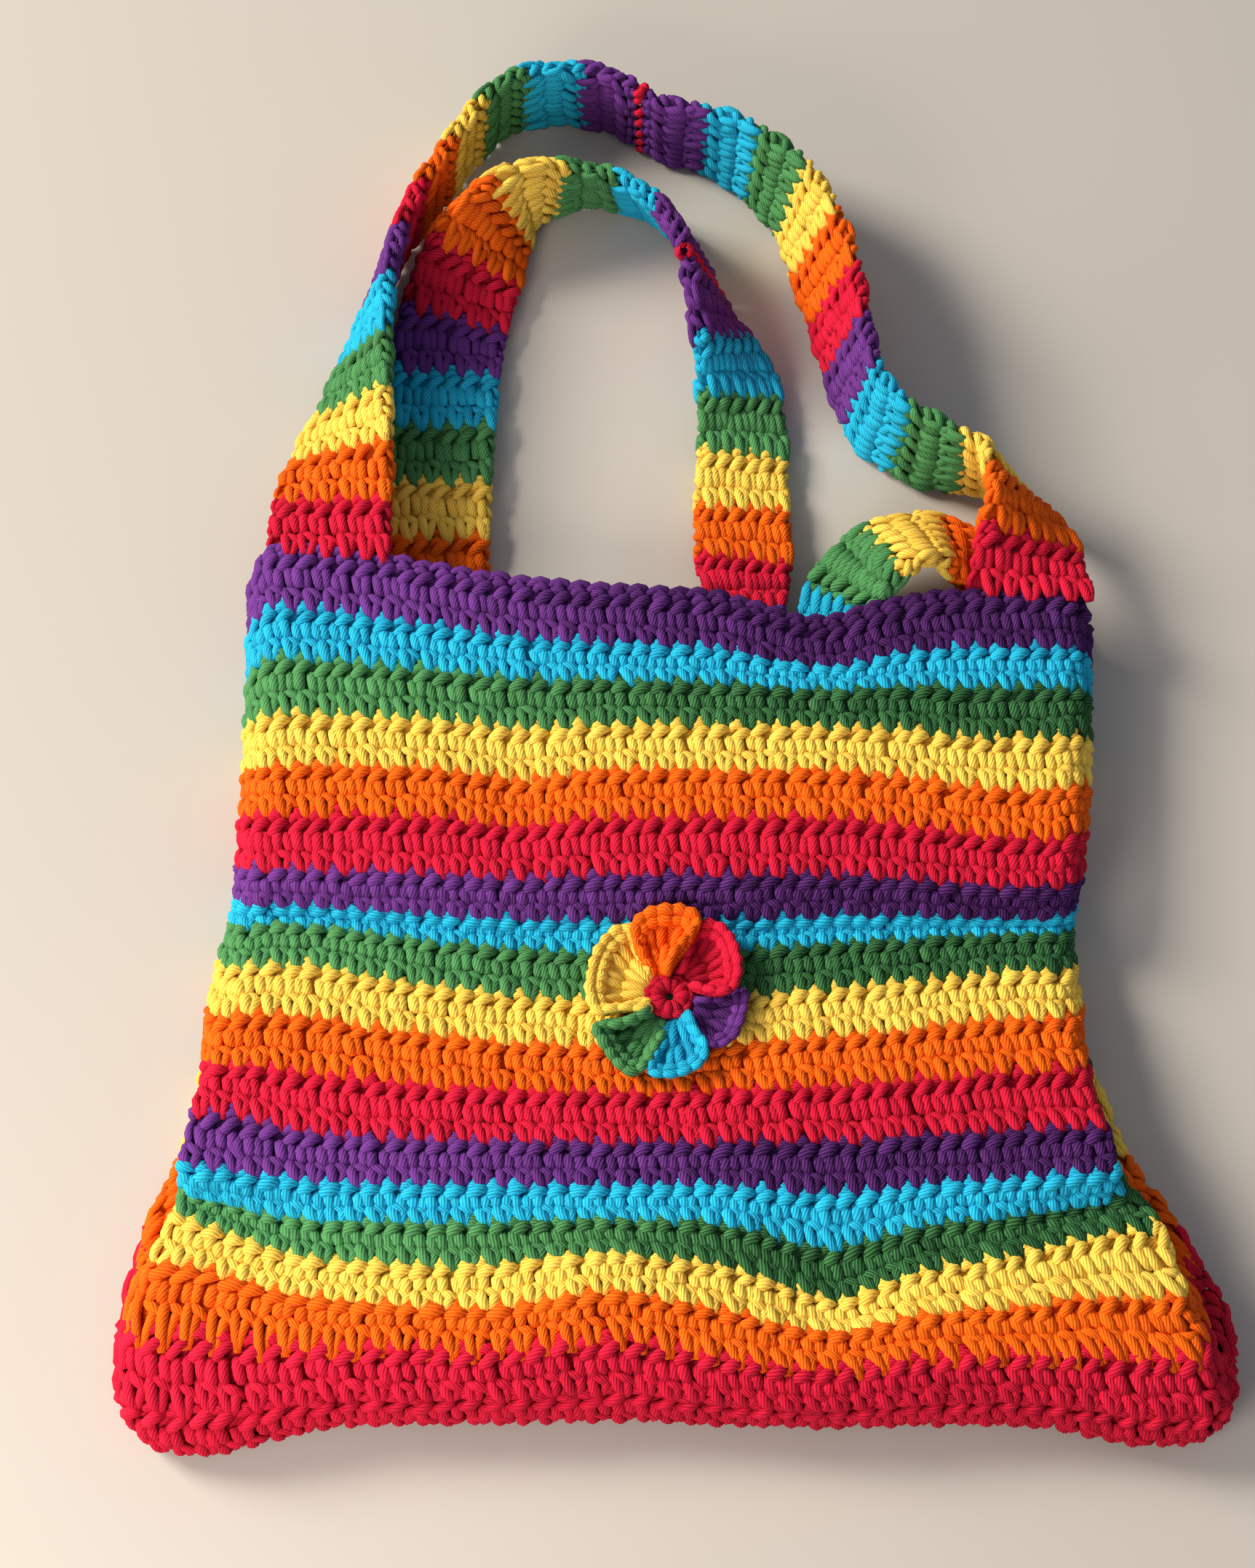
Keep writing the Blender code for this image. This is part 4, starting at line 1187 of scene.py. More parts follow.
class StrapSurface(Surface):
    """One face of one half of a strap.

    Stitch numbers run across it from the middle, and stripe numbers count its bands from the root.
    """

    STITCHES = 6
    FINE = 400                 # pieces of the middle line
    STEPS = 24                 # pieces between two route points
    BLUR = 9                   # stations over which the line's direction is smoothed
    EDGE_IN = 0.0018           # the outermost yarn's middle, in from the strap's edge
    ROOT_RISE = 0.0013         # how far the yarn rises past the root
    ROOT_REACH = 0.12          # over this many bands

    def __init__(self, shape: StrapShape, body: BodyShape) -> None:
        """Work out the strap's middle line and its width and face directions.

        Args:
            shape: the strap's sizes.
            body: the body that it hangs from.
        """
        self.shape = shape
        self.face = 1.0
        self.half = Side.LEFT
        points, leave, arrive = self.stations(shape, body)
        tangent = np.gradient(points, axis=0)
        t = np.linspace(0.0, 1.0, self.STEPS, endpoint=False)[None, :, None]
        a, b, c, d = (v[:, None] for v in (points[:-1], points[1:], tangent[:-1], tangent[1:]))
        fine = ((2 * t ** 3 - 3 * t ** 2 + 1) * a + (t ** 3 - 2 * t ** 2 + t) * c
                + (3 * t ** 2 - 2 * t ** 3) * b + (t ** 3 - t ** 2) * d).reshape(-1, 5)
        fine = np.concatenate([fine, points[-1:]])
        length = run_length(fine[:, :3])
        self.length = float(length[-1])
        where = np.linspace(0.0, self.length, self.FINE + 1)
        data = np.stack([np.interp(where, length, fine[:, k]) for k in range(5)], 1)
        along = np.gradient(data[:, :3], axis=0)
        kernel = np.hanning(self.BLUR)[1:-1] / np.hanning(self.BLUR).sum()
        side = len(kernel) // 2
        padded = np.concatenate([np.repeat(along[:1], side, 0), along,
                                 np.repeat(along[-1:], side, 0)])
        along = unit(np.stack([np.convolve(padded[:, k], kernel, "valid") for k in range(3)], 1))
        along[0] = leave
        along[-1] = -arrive
        level = unit(np.cross(along, UP))
        lift = np.cross(level, along)
        roll = np.radians(data[:, 3:4])
        self.middle = data[:, :3]
        self.along = along
        self.across = np.cos(roll) * level + np.sin(roll) * lift
        self.outward = np.cross(self.across, along)
        self.share = data[:, 4]

    @staticmethod
    def rim_point(body: BodyShape, x: np.ndarray, front: bool) -> tuple[np.ndarray, np.ndarray]:
        """Find the rim's edge.

        Args:
            body: the body's sizes.
            x: places across.
            front: whether on the front or the back panel.

        Returns:
            Furthest y of the fabric's edge at each place, and the fabric's middle height.
        """
        rings = closed_curve(body.rings(np.array([0.0, 0.02])), 4)
        around = np.roll(rings[0], -1, 0) - np.roll(rings[0], 1, 0)
        normal = unit(np.cross(rings[1] - rings[0], around))
        inside = rings[0] - FABRIC * normal
        chosen = (rings[0][:, 2] > 0.5 * rings[0][:, 2].max()) == front
        found = []
        for line in (rings[0][chosen], inside[chosen]):
            line = line[np.argsort(line[:, 0])]
            found.append([np.interp(x, line[:, 0], line[:, k]) for k in (1, 2)])
        return np.maximum(found[0][0], found[1][0]), 0.5 * (found[0][1] + found[1][1])

    def root(self, shape: StrapShape, body: BodyShape, x: float,
             roll: float) -> tuple[Numbers, np.ndarray]:
        """Seat a root on the rim.

        Args:
            shape: the strap's sizes.
            body: the body's sizes.
            x: place of the root's middle.
            roll: roll of the strap there, in degrees.

        Returns:
            The route's end point, and the direction in which the strap leaves the rim.
        """
        half = 0.5 * shape.width
        share = np.linspace(-1.0, 1.0, 9)
        y, z = self.rim_point(body, x + half * share, shape.on_front)
        slope = (y[-1] - y[0]) / (2.0 * half)
        seat = float((y - slope * half * share).max()) + SEAT_GAP
        height = max(float(z[4]), 0.5 * FABRIC + shape.row_ridge)
        leave = np.array([-slope, 1.0, 0.0]) / math.hypot(1.0, slope)
        return (x, seat, height, roll, 1.0), leave

    def stations(self, shape: StrapShape,
                 body: BodyShape) -> tuple[np.ndarray, np.ndarray, np.ndarray]:
        """Put the roots on the route and turn the lower edge's lift into the middle's height.

        Args:
            shape: the strap's sizes.
            body: the body that it hangs from.

        Returns:
            The route's points, and the directions in which it leaves the rim and comes back.
        """
        left, leave = self.root(shape, body, body.low_left[0] + shape.insets[0], 0.0)
        right, arrive = self.root(shape, body, body.low_right[0] - shape.insets[1],
                                  shape.end_roll)
        points = np.array((left,) + shape.route + (right,))
        roll = np.radians(points[1:-1, 3])
        points[1:-1, 2] += 0.5 * shape.width * points[1:-1, 4] * np.abs(np.sin(roll))
        points[1:-1, 2] += (0.5 * FABRIC + shape.row_ridge) * np.abs(np.cos(roll))
        return points, leave, arrive

    def choose(self, half: Side, face: float) -> "StrapSurface":
        """Pick the half and the face that the next stitches are laid on.

        Args:
            half: which half.
            face: 1 for the outer face and -1 for the other.

        Returns:
            This surface.
        """
        self.half = half
        self.face = face
        return self

    @property
    def band_length(self) -> float:
        """Length of one band."""
        return (0.5 * self.length - 0.5 * self.shape.seam) / self.shape.bands

    def frame(self, down: np.ndarray) -> tuple[np.ndarray, ...]:
        """Read the middle line.

        Args:
            down: band numbers from the root, also a little past it.

        Returns:
            Middle, direction across, outward direction and width share at each.
        """
        place = down * self.band_length
        inside = np.clip(place, 0.0, self.length)
        beyond = place - inside
        if self.half is Side.RIGHT:
            inside = self.length - inside
        station = inside / self.length * self.FINE
        i = np.clip(station.astype(int), 0, self.FINE - 1)
        a = station - i
        middle, along, across, outward = (
            (1 - a)[..., None] * values[i] + a[..., None] * values[i + 1]
            for values in (self.middle, self.along, self.across, self.outward))
        share = (1 - a) * self.share[i] + a * self.share[i + 1]
        sign = -1.0 if self.half is Side.RIGHT else 1.0
        middle = middle + (sign * beyond)[..., None] * along
        return middle, unit(across), unit(outward), share

    def at(self, along: np.ndarray, down: np.ndarray,
           lift: np.ndarray | float) -> tuple[np.ndarray, np.ndarray]:
        """Find places across by the stitch number, and out by half the fabric and the lift.

        Args:
            along: stitches across from the middle.
            down: bands from the root.
            lift: height over the surface, in metres.

        Returns:
            Places and outward normals. Past the root the yarn rises a little, to lie on the stripe
            that the strap hangs from.
        """
        along, down, lift = np.broadcast_arrays(along, down, lift)
        middle, across, outward, share = self.frame(down)
        turn = -1.0 if self.half is Side.RIGHT else 1.0
        reach = 0.5 * self.shape.width * share - self.EDGE_IN
        offset = turn * self.face * reach * np.clip(2.0 * along / self.STITCHES, -1.0, 1.0)
        rise = self.ROOT_RISE * np.clip(-down / self.ROOT_REACH, 0.0, 1.0)
        out = self.face * (0.5 * FABRIC + lift + rise)
        place = middle + offset[..., None] * across + out[..., None] * outward
        return place, self.face * outward


@dataclass
class Strap:
    """One strap: for each half a shell of fabric with bands, its stitches and its edge loops."""

    surface: StrapSurface
    wobble: Wobble = field(default_factory=Wobble)
    shell_rows: int = 6
    shell_columns: int = 6
    shell_lift: float = -0.0009
    shell_in: float = 0.0012       # the shell's edge, in from the strap's
    roundness: float = 0.6         # of its section: 1 is an ellipse and 0 a rectangle
    strand_gap_mm: float = 2.2     # from one strand to the next, for the yarn map
    section_mm: float = 48.0       # length of yarn once round the section, for the yarn map
    yarn_lift_mm: float = -0.9
    edge_loops_a_band: int = 4
    edge_slant: float = 0.10       # bands by which an edge loop leans
    edge_in: float = 0.0030        # where an edge loop turns, in from the strap's edge
    edge_out: float = 0.0018       # how far it reaches out from there
    edge_sink: float = 0.0004      # how far its ends lie under the fabric's faces
    edge_spread: Numbers = (0.02, 0.0002, 0.07)    # of its place in bands, its reach and its tone
    edge_radius_mm: Numbers = (0.8, 1.1, 1.25, 1.1, 0.8)
    seam_loops: int = 7
    seam_half: float = 0.46        # share of the width, from the middle to the outermost loop
    seam_drift: float = 0.02       # share of the width by which a loop is out of place
    seam_slant: float = 0.05       # and by which it leans
    seam_reach: float = 0.0016     # of a loop along the strap, from the seam's middle
    seam_lift: float = 0.0006      # of a loop over the fabric's faces
    seam_radius_mm: float = 1.25

    def shell(self, half: Side) -> MeshParts:
        """Make one half's shell: a flat tube with round edges, coloured band by band.

        Args:
            half: which half.

        Returns:
            The mesh parts, a closed tube whose section is a flattened oval.
        """
        surface = self.surface.choose(half, 1.0)
        shape = surface.shape
        rows = shape.bands * self.shell_rows + 1
        down = np.linspace(0.0, shape.bands, rows)
        middle, across, outward, share = surface.frame(down)
        columns = 2 * self.shell_columns
        angle = 2.0 * math.pi * np.arange(columns) / columns
        wide = signed_power(np.cos(angle), self.roundness)
        thick = signed_power(np.sin(angle), self.roundness)
        half_width = 0.5 * shape.width * share - self.shell_in
        half_thick = 0.5 * FABRIC + self.shell_lift
        points = (middle[:, None] + (half_width[:, None] * wide)[..., None] * across[:, None]
                  + (half_thick * thick)[None, :, None] * outward[:, None])
        number = np.arange(rows * columns).reshape(rows, columns)
        ahead = np.roll(number, -1, axis=1)
        walls = np.stack([number[:-1], ahead[:-1], ahead[1:], number[1:]], -1)
        if half is Side.RIGHT:
            walls = walls[..., ::-1]
        walls = walls.reshape(-1, 4)
        turns = down * surface.band_length / (self.strand_gap_mm * MM)
        yarn = self.section_mm * np.arange(columns) / columns
        uv = np.stack(np.broadcast_arrays(turns[:, None], yarn[None]), -1).reshape(-1, 2)
        band = np.repeat(np.arange(rows - 1) // self.shell_rows, columns) % len(Colour)
        parts = MeshParts()
        parts.add(points, walls, uv[walls], band, SHELL_TONE)
        ends = np.arange(1, columns // 2)
        lid = np.stack([ends - 1, ends, columns - 1 - ends, (columns - ends) % columns], -1)
        for row, flip in ((0, half is Side.LEFT), (rows - 1, half is Side.RIGHT)):
            corners = number[row][lid]
            corners = corners[:, ::-1] if flip else corners
            parts.close(corners, uv[corners], 0 if row == 0 else len(Colour) - 1)
        return parts

    def edge_loops(self, parts: MeshParts, half: Side, source: np.random.Generator) -> None:
        """Lay the loops of yarn that turn round both long edges.

        Args:
            parts: where the yarn goes.
            half: which half.
            source: the seeded source.
        """
        surface = self.surface.choose(half, 1.0)
        shape = surface.shape
        loops = self.edge_loops_a_band
        count = loops * shape.bands
        down = (np.arange(count) + 0.5) / loops
        turn = np.linspace(-0.5, 0.5, 5) * math.pi
        slant = np.linspace(-self.edge_slant, self.edge_slant, 5)[None]
        for side in (-1.0, 1.0):
            shift = draw(source, (count, 3)) * np.array(self.edge_spread)
            place = down[:, None] + slant + shift[:, :1]
            middle, across, outward, share = surface.frame(place)
            out = 0.5 * shape.width * share - self.edge_in
            out = out + (self.edge_out + shift[:, 1:2]) * np.cos(turn)
            high = (0.5 * FABRIC - self.edge_sink) * np.sin(turn)[None]
            path = (middle + (side * out)[..., None] * across
                    + np.broadcast_to(high, out.shape)[..., None] * outward)
            radius = np.broadcast_to(np.array(self.edge_radius_mm) * MM, out.shape)
            for band in range(shape.bands):
                chosen = slice(loops * band, loops * (band + 1))
                sweep(parts, path[chosen], side * across[chosen], radius[chosen], 6,
                      band % len(Colour), shift[chosen, 2])

    def stitches(self, half: Side, source: np.random.Generator) -> MeshParts:
        """Lay the stitches of one half on both faces.

        Args:
            half: which half.
            source: the seeded source.

        Returns:
            The mesh parts.
        """
        parts = MeshParts()
        number = np.arange(self.surface.STITCHES) + 0.5 - 0.5 * self.surface.STITCHES
        for face in (1.0, -1.0):
            surface = self.surface.choose(half, face)
            for band in range(surface.shape.bands):
                places, starts = self.wobble.places(source, number, band + 1.0)
                for strand in FULL_STITCH:
                    surface.lay(parts, strand, places, starts, -1.0, 6, band % len(Colour),
                                self.wobble, source, self.yarn_lift_mm)
        self.edge_loops(parts, half, source)
        return parts

    def seam(self, source: np.random.Generator) -> MeshParts:
        """Make the red seam between the halves: loops of yarn right round the strap.

        Args:
            source: the seeded source.

        Returns:
            The mesh parts.
        """
        surface = self.surface.choose(Side.LEFT, 1.0)
        shape = surface.shape
        count = self.seam_loops
        along = np.linspace(-self.seam_half, self.seam_half, count)
        angle = np.linspace(0.0, 2.0 * math.pi, 9)
        reach = 0.5 * shape.seam + self.seam_reach * np.cos(angle)
        down = shape.bands + reach / surface.band_length
        middle, across, outward, share = surface.frame(down)
        most = 1.5 * self.seam_drift
        shift = source.normal(0.0, self.seam_drift, (count, 1)).clip(-most, most)
        lean = self.seam_slant * np.cos(angle)
        offset = (along[:, None] + shift + lean) * shape.width * share
        high = (0.5 * FABRIC + self.seam_lift) * np.sin(angle)
        path = (middle + offset[..., None] * across
                + np.broadcast_to(high, offset.shape)[..., None] * outward)
        normal = unit(path - middle - offset[..., None] * across)
        parts = MeshParts()
        radius = np.full(offset.shape, self.seam_radius_mm * MM)
        sweep(parts, path, normal, radius, 6, 0, np.zeros(count))
        return parts

    def build(self, source: np.random.Generator) -> None:
        """Make and place both halves and the seam.

        Args:
            source: the seeded source.
        """
        shape = self.surface.shape
        order = tuple(reversed(Colour))
        for half in Side:
            name = f"{shape.name}_strap_{half.value}"
            fabric = self.shell(half).build(f"{name}_fabric", order)
            stitches = self.stitches(half, source).build(f"{name}_stitches", order)
            hand_over(name, "striped", fabric, stitches)
        seam = self.seam(source).build(f"{shape.name}_strap_seam_yarn", (Colour.RED,))
        hand_over(f"{shape.name}_strap_seam", "red", seam)


@dataclass(frozen=True)
class PetalShape:
    """One petal as the photo shows it: a fan of stitches from its root to a rolled rim of chain.

    Points are (mm across, mm up the picture, mm over the front panel), from the flower's eye. The
    rim runs clockwise round the petal from one end of its root to the other.
    """

    colour: Colour
    root: tuple[tuple[float, float, float], ...]
    rim: tuple[tuple[float, float, float], ...]
    sag_mm: float                  # how far the middle sinks below straight lines to the rim
    stitches: int
    tone: float = 0.0              # lightness shift of its yarn; the purple petal's is painted shade, as it lies in shadow
    braid: float = 1.0             # size of its rim's chain


PETALS = (
    PetalShape(Colour.ORANGE, ((-5.5, 5.5, 2.0), (0.0, 6.5, 2.5)), (
        (-6.1, 7.0, 2.5), (-10.6, 12.7, 4.0), (-12.6, 18.8, 5.0), (-11.6, 24.8, 5.5),
        (-7.1, 28.4, 5.0), (-1.5, 29.6, 5.0), (4.0, 29.6, 5.5), (9.1, 28.1, 7.0),
        (10.9, 24.8, 8.5), (7.6, 19.3, 9.0), (3.0, 14.2, 8.5), (0.5, 9.7, 7.0),
        (0.0, 7.5, 5.0)), sag_mm=3.5, stitches=7, tone=-0.10, braid=1.25),
    PetalShape(Colour.RED, ((2.0, 6.5, 2.5), (7.0, 2.5, 3.0)), (
        (3.0, 7.7, 3.5), (6.1, 15.3, 5.0), (8.6, 21.3, 5.0), (12.6, 24.1, 5.5),
        (18.7, 23.3, 6.5), (22.7, 18.8, 7.5), (24.5, 12.7, 8.0), (24.7, 6.7, 8.0),
        (21.7, 1.8, 8.0), (16.2, 0.9, 7.5), (11.1, 2.1, 6.5), (7.8, 3.1, 5.0)),
        sag_mm=3.5, stitches=7, tone=-0.2, braid=1.15),
    # this petal's darker tone is painted shadow
    PetalShape(Colour.PURPLE, ((7.5, -1.0, 2.0), (6.5, -7.0, 2.0)), (
        (10.1, -0.9, 6.0), (16.2, -0.9, 4.0), (22.2, -0.4, 3.0), (27.0, 2.1, 4.0),
        (26.8, -3.9, 5.0), (24.7, -10.0, 5.5), (21.7, -14.5, 5.0), (15.2, -17.2, 4.5),
        (10.0, -13.5, 4.0), (7.6, -9.5, 3.0)), sag_mm=2.5, stitches=6, tone=-0.35, braid=0.95),
    PetalShape(Colour.BLUE, ((5.0, -7.5, 2.0), (-0.5, -9.5, 2.0)), (
        (6.6, -5.5, 6.5), (9.1, -10.0, 6.0), (12.1, -14.5, 5.5), (12.6, -19.1, 5.5),
        (10.1, -23.1, 5.5), (4.0, -26.2, 5.0), (-2.0, -26.7, 5.0), (-7.6, -25.2, 5.0),
        (-5.6, -19.1, 5.0), (-2.0, -14.5, 4.0)), sag_mm=2.0, stitches=6, tone=-0.2),
    PetalShape(Colour.GREEN, ((-2.5, -9.0, 2.0), (-6.5, -5.0, 2.5)), (
        (-2.0, -12.5, 3.0), (-4.5, -17.6, 4.0), (-7.1, -21.6, 4.5), (-10.1, -25.2, 5.0),
        (-14.6, -25.7, 5.0), (-19.7, -22.1, 5.0), (-23.8, -16.0, 5.5), (-26.4, -11.0, 6.5),
        (-24.6, -8.6, 7.5), (-19.0, -8.2, 8.0), (-13.2, -6.4, 8.0), (-8.2, -4.0, 7.0)),
        sag_mm=3.5, stitches=7, tone=-0.10, braid=1.2),
    PetalShape(Colour.YELLOW, ((-6.5, -3.0, 2.5), (-6.5, 5.5, 2.0)), (
        (-7.6, -5.4, 6.5), (-14.1, -4.6, 6.5), (-20.7, -5.4, 6.5), (-25.3, -6.0, 6.5),
        (-27.8, -1.4, 6.0), (-28.5, 3.6, 6.0), (-27.3, 9.7, 6.0), (-25.3, 15.3, 6.0),
        (-21.7, 19.8, 5.5), (-17.2, 22.3, 5.0), (-13.6, 21.3, 4.0), (-10.1, 15.3, 3.0),
        (-7.1, 7.7, 2.5)), sag_mm=2.0, stitches=8, braid=1.15),
)


@dataclass
class Flower:
    """The crocheted flower: six petals and a round centre with an eye.

    A row of spokes is where it starts and ends, as shares of the way from root to rim, and how many
    stitches it has more than the petal's. A round of the centre is how far it is turned, in
    stitches, the size of its yarn, and how many mm lower it lies.
    """

    body: BodyShape
    centre: tuple[float, float] = (-0.0022, -0.1228)
    scale: float = 0.885           # of the petals' points
    elevation: float = 65.0        # the photo's view, in which the petals' points are given
    columns: int = 33              # samples along a petal's rim
    rows: int = 9                  # samples from its root to its rim
    thick: float = 0.0018
    clear_mm: float = 2.5          # least height of a petal's middle over the panel
    under: tuple[float, float, int] = (5.0, 14.0, 181)     # stripes below it, and samples of them
    centre_radius: float = 0.0068
    eye_radius: float = 0.0015
    centre_stitches: int = 11
    centre_tone: float = -0.25
    # painted shade: the fabric of the petals and the centre is darker, as it lies in the shade of its
    # stitches
    painted_shell_shade: float = -0.2
    loop_length: float = 0.0046    # of a chain's loops along a rim
    loop_overlap: float = 0.12     # share by which each runs into the next
    loop_reach: float = 0.0066     # from the eye to the loops round the centre
    loop_half: float = 0.62        # half of such a loop, in stitches
    loop_yarn_mm: Numbers = (0.8, 1.05, 1.15, 1.05, 0.8)
    full_sag: float = 0.020        # a petal as long as this has its whole sag
    spoke_rows: tuple[tuple[float, float, int], ...] = ((0.04, 0.58, 0), (0.46, 0.94, 3))
    spoke_drift: float = 10.0      # grid columns by which it is out of place, times the wobble
    spoke_slant: float = 6.0       # and by which it leans
    spoke_rise_mm: Numbers = (-0.2, 0.8, 1.2, 0.9, -0.1)
    spoke_radius_mm: Numbers = (0.9, 1.25, 1.4, 1.35, 1.1)
    centre_rounds: tuple[Numbers, ...] = ((0.0, 1.0, 0.0), (0.5, 0.8, 0.3))
    centre_slant: float = 0.06     # radians by which its spokes lean each way
    centre_reach_mm: Numbers = (1.9, 2.8, 4.0, 5.3, 6.4)
    centre_rise_mm: Numbers = (0.9, 2.3, 2.9, 2.6, 1.0)
    centre_yarn_mm: Numbers = (0.75, 0.95, 1.15, 1.25, 1.1)
    centre_lift: float = 0.0022    # how far the centre's fabric lies over the front panel
    eye_height: float = 0.0045     # height of the eye's edge over the panel
    wobble: Wobble = field(default_factory=Wobble)

    def panel(self, x: np.ndarray, y: np.ndarray) -> np.ndarray:
        """Height of the front panel over places of the plan.

        Args:
            x: places across.
            y: places along.

        Returns:
            Heights.
        """
        stripes = np.linspace(*self.under)[None]
        flat_x, flat_y = x.ravel()[:, None], y.ravel()
        line, high = self.body.front_y(flat_x, stripes), self.body.front_z(flat_x, stripes)
        found = [np.interp(-v, -line[i], high[i]) for i, v in enumerate(flat_y)]
        return np.array(found).reshape(x.shape)

    def place(self, points: np.ndarray) -> np.ndarray:
        """Turn points of the picture into places.

        Args:
            points: (mm across, mm up the picture, mm over the panel), as (n, 3).

        Returns:
            Places as (n, 3), found by a few steps because the panel slopes.
        """
        tilt = math.radians(self.elevation)
        points = points * np.array([self.scale, self.scale, 1.0])
        x = self.centre[0] + points[:, 0] * MM
        y = self.centre[1] + points[:, 1] * MM
        base = float(self.panel(np.array([self.centre[0]]), np.array([self.centre[1]]))[0])
        base += self.eye_height
        for _ in range(6):
            z = self.panel(x, y) + points[:, 2] * MM
            y = self.centre[1] + (points[:, 1] * MM - (z - base) * math.cos(tilt)) / math.sin(tilt)
        return np.stack([x, y, z], 1)

    def fan(self, shape: PetalShape) -> tuple[np.ndarray, np.ndarray]:
        """Work out a petal's surface.

        Args:
            shape: the petal.

        Returns:
            Places and upward normals, each as (rows, columns, 3), from root to rim.
        """
        rim = open_curve(self.place(np.array(shape.rim)), self.columns)
        root = open_curve(self.place(np.array(shape.root)), self.columns)
        share = np.linspace(0.0, 1.0, self.rows)[:, None, None]
        grid = root[None] * (1.0 - share) + rim[None] * share
        reach = np.linalg.norm((rim - root)[:, :2], axis=1) / self.full_sag
        sag = np.sin(math.pi * share[..., 0]) * np.clip(reach, 0.0, 1.0)[None]
        grid[..., 2] -= shape.sag_mm * MM * sag
        low = self.panel(grid[..., 0], grid[..., 1]) + self.clear_mm * MM
        grid[..., 2] = np.maximum(grid[..., 2], low)
        normal = unit(np.cross(np.gradient(grid, axis=0), np.gradient(grid, axis=1)))
        if normal[..., 2].mean() < 0.0:
            normal = -normal
        return grid, normal

    def chain(self, parts: MeshParts, rim: np.ndarray, inward: np.ndarray, normal: np.ndarray,
              size: float, source: np.random.Generator) -> None:
        """Lay the chain of loops along a rim, two bulging legs to a loop.

        Args:
            parts: where the yarn goes.
            rim: places along the rim.
            inward: direction across the rim there, towards the root.
            normal: the fabric's outward direction there.
            size: how thick the chain is, as a share of a plain one.
            source: the seeded source.
        """
        count = max(3, round(run_length(rim)[-1] / self.loop_length))
        at = np.linspace(-self.loop_overlap, 1.0 + self.loop_overlap, 5)
        bulge = np.sin(math.pi * np.linspace(0.0, 1.0, 5))
        where = (np.arange(count)[:, None] + at[None]) / count
        column = np.clip(where, 0.0, 1.0) * (len(rim) - 1)
        shift = self.wobble.spread(source, 2 * count)
        for leg, (side, high) in enumerate(((-1.0, 0.9), (1.0, 1.2))):
            base, across, up = (
                np.stack([np.interp(column, np.arange(len(rim)), values[:, k])
                          for k in range(3)], -1) for values in (rim, inward, normal))
            drift = shift[leg * count:(leg + 1) * count]
            out = side * size * (0.2 + 1.4 * bulge)[None] * MM + 3.0 * drift[:, 1:2] * MM
            rise = size * (0.2 + high * bulge)[None] * MM + drift[:, 2:3] * MM
            path = base + out[..., None] * unit(across) + rise[..., None] * unit(up)
            radius = size * (0.95 + 0.5 * bulge)[None] * (1.0 + drift[:, 3:4]) * MM
            sweep(parts, path, unit(up), radius, 6, 0, drift[:, 4])

    def petal_shell(self, grid: np.ndarray, normal: np.ndarray) -> tuple[MeshParts, float]:
        """Make a petal's fabric: the two faces of its grid, with a wall round their edge.

        Args:
            grid: places in the middle of the fabric, as (rows, columns, 3).
            normal: upward normals there.

        Returns:
            The mesh parts, and the area of the fabric's middle in square metres.
        """
        rows, columns = grid.shape[:2]
        number = np.arange(rows * columns).reshape(rows, columns)
        quads = np.stack([number[:-1, :-1], number[1:, :-1], number[1:, 1:],
                          number[:-1, 1:]], -1).reshape(-1, 4)
        edge = np.concatenate([number[0, :-1], number[:-1, -1], number[-1, :0:-1],
                               number[:0:-1, 0]])
        ahead = np.roll(edge, -1)
        under = rows * columns
        walls = np.stack([edge, ahead, ahead + under, edge + under], -1)
        flat = grid.reshape(-1, 3)
        first, second, _, last = (flat[quads[:, k]] for k in range(4))
        facing = np.cross(second - first, last - first) * normal.reshape(-1, 3)[quads[:, 0]]
        faces = np.concatenate([quads, quads[:, ::-1] + under, walls])
        faces = faces[:, ::-1] if facing.sum() < 0.0 else faces
        points = np.concatenate([(grid + 0.5 * self.thick * normal).reshape(-1, 3),
                                 (grid - 0.5 * self.thick * normal).reshape(-1, 3)])
        uv = np.stack(np.broadcast_arrays(np.arange(rows)[:, None] * 0.3,
                                          np.arange(columns)[None] * 2.0), -1)
        uv = np.tile(uv.reshape(-1, 2), (2, 1))
        shell = MeshParts()
        shell.add(points, faces, uv[faces], 0, np.array([self.painted_shell_shade]))
        return shell, quad_area(flat, quads)

    def petal_yarn(self, shape: PetalShape, grid: np.ndarray, normal: np.ndarray,
                   source: np.random.Generator) -> MeshParts:
        """Lay a petal's stitches: two rows of spokes from root to rim, and the rim's chain.

        Args:
            shape: the petal.
            grid: places in the middle of its fabric, as (rows, columns, 3).
            normal: upward normals there.
            source: the seeded source.

        Returns:
            The mesh parts.
        """
        rows, columns = grid.shape[:2]
        yarn = MeshParts()
        for first, final, more in self.spoke_rows:
            count = shape.stitches + more
            shift = self.wobble.spread(source, count)
            share = np.linspace(first, final, 5)
            along = (np.arange(count)[:, None] + 0.5) / count * (columns - 1)
            along = along + self.spoke_drift * shift[:, 0:1]
            along = along + self.spoke_slant * shift[:, 1:2] * share[None]
            column = np.clip(along, 0.0, columns - LAST_CELL)
            row = np.broadcast_to(share[None] * (rows - 1), column.shape)
            path, up = read_grid((grid, normal), row, column)
            up = unit(up)
            rise = np.array(self.spoke_rise_mm)[None] + shift[:, 2:3]
            path = path + (rise * MM)[..., None] * up
            radius = np.array(self.spoke_radius_mm)[None] * (1.0 + shift[:, 3:4]) * MM
            sweep(yarn, path, up, radius, 6, 0, shape.tone + shift[:, 4])
        self.chain(yarn, grid[-1], unit(grid[-2] - grid[-1]), normal[-1], shape.braid, source)
        return yarn

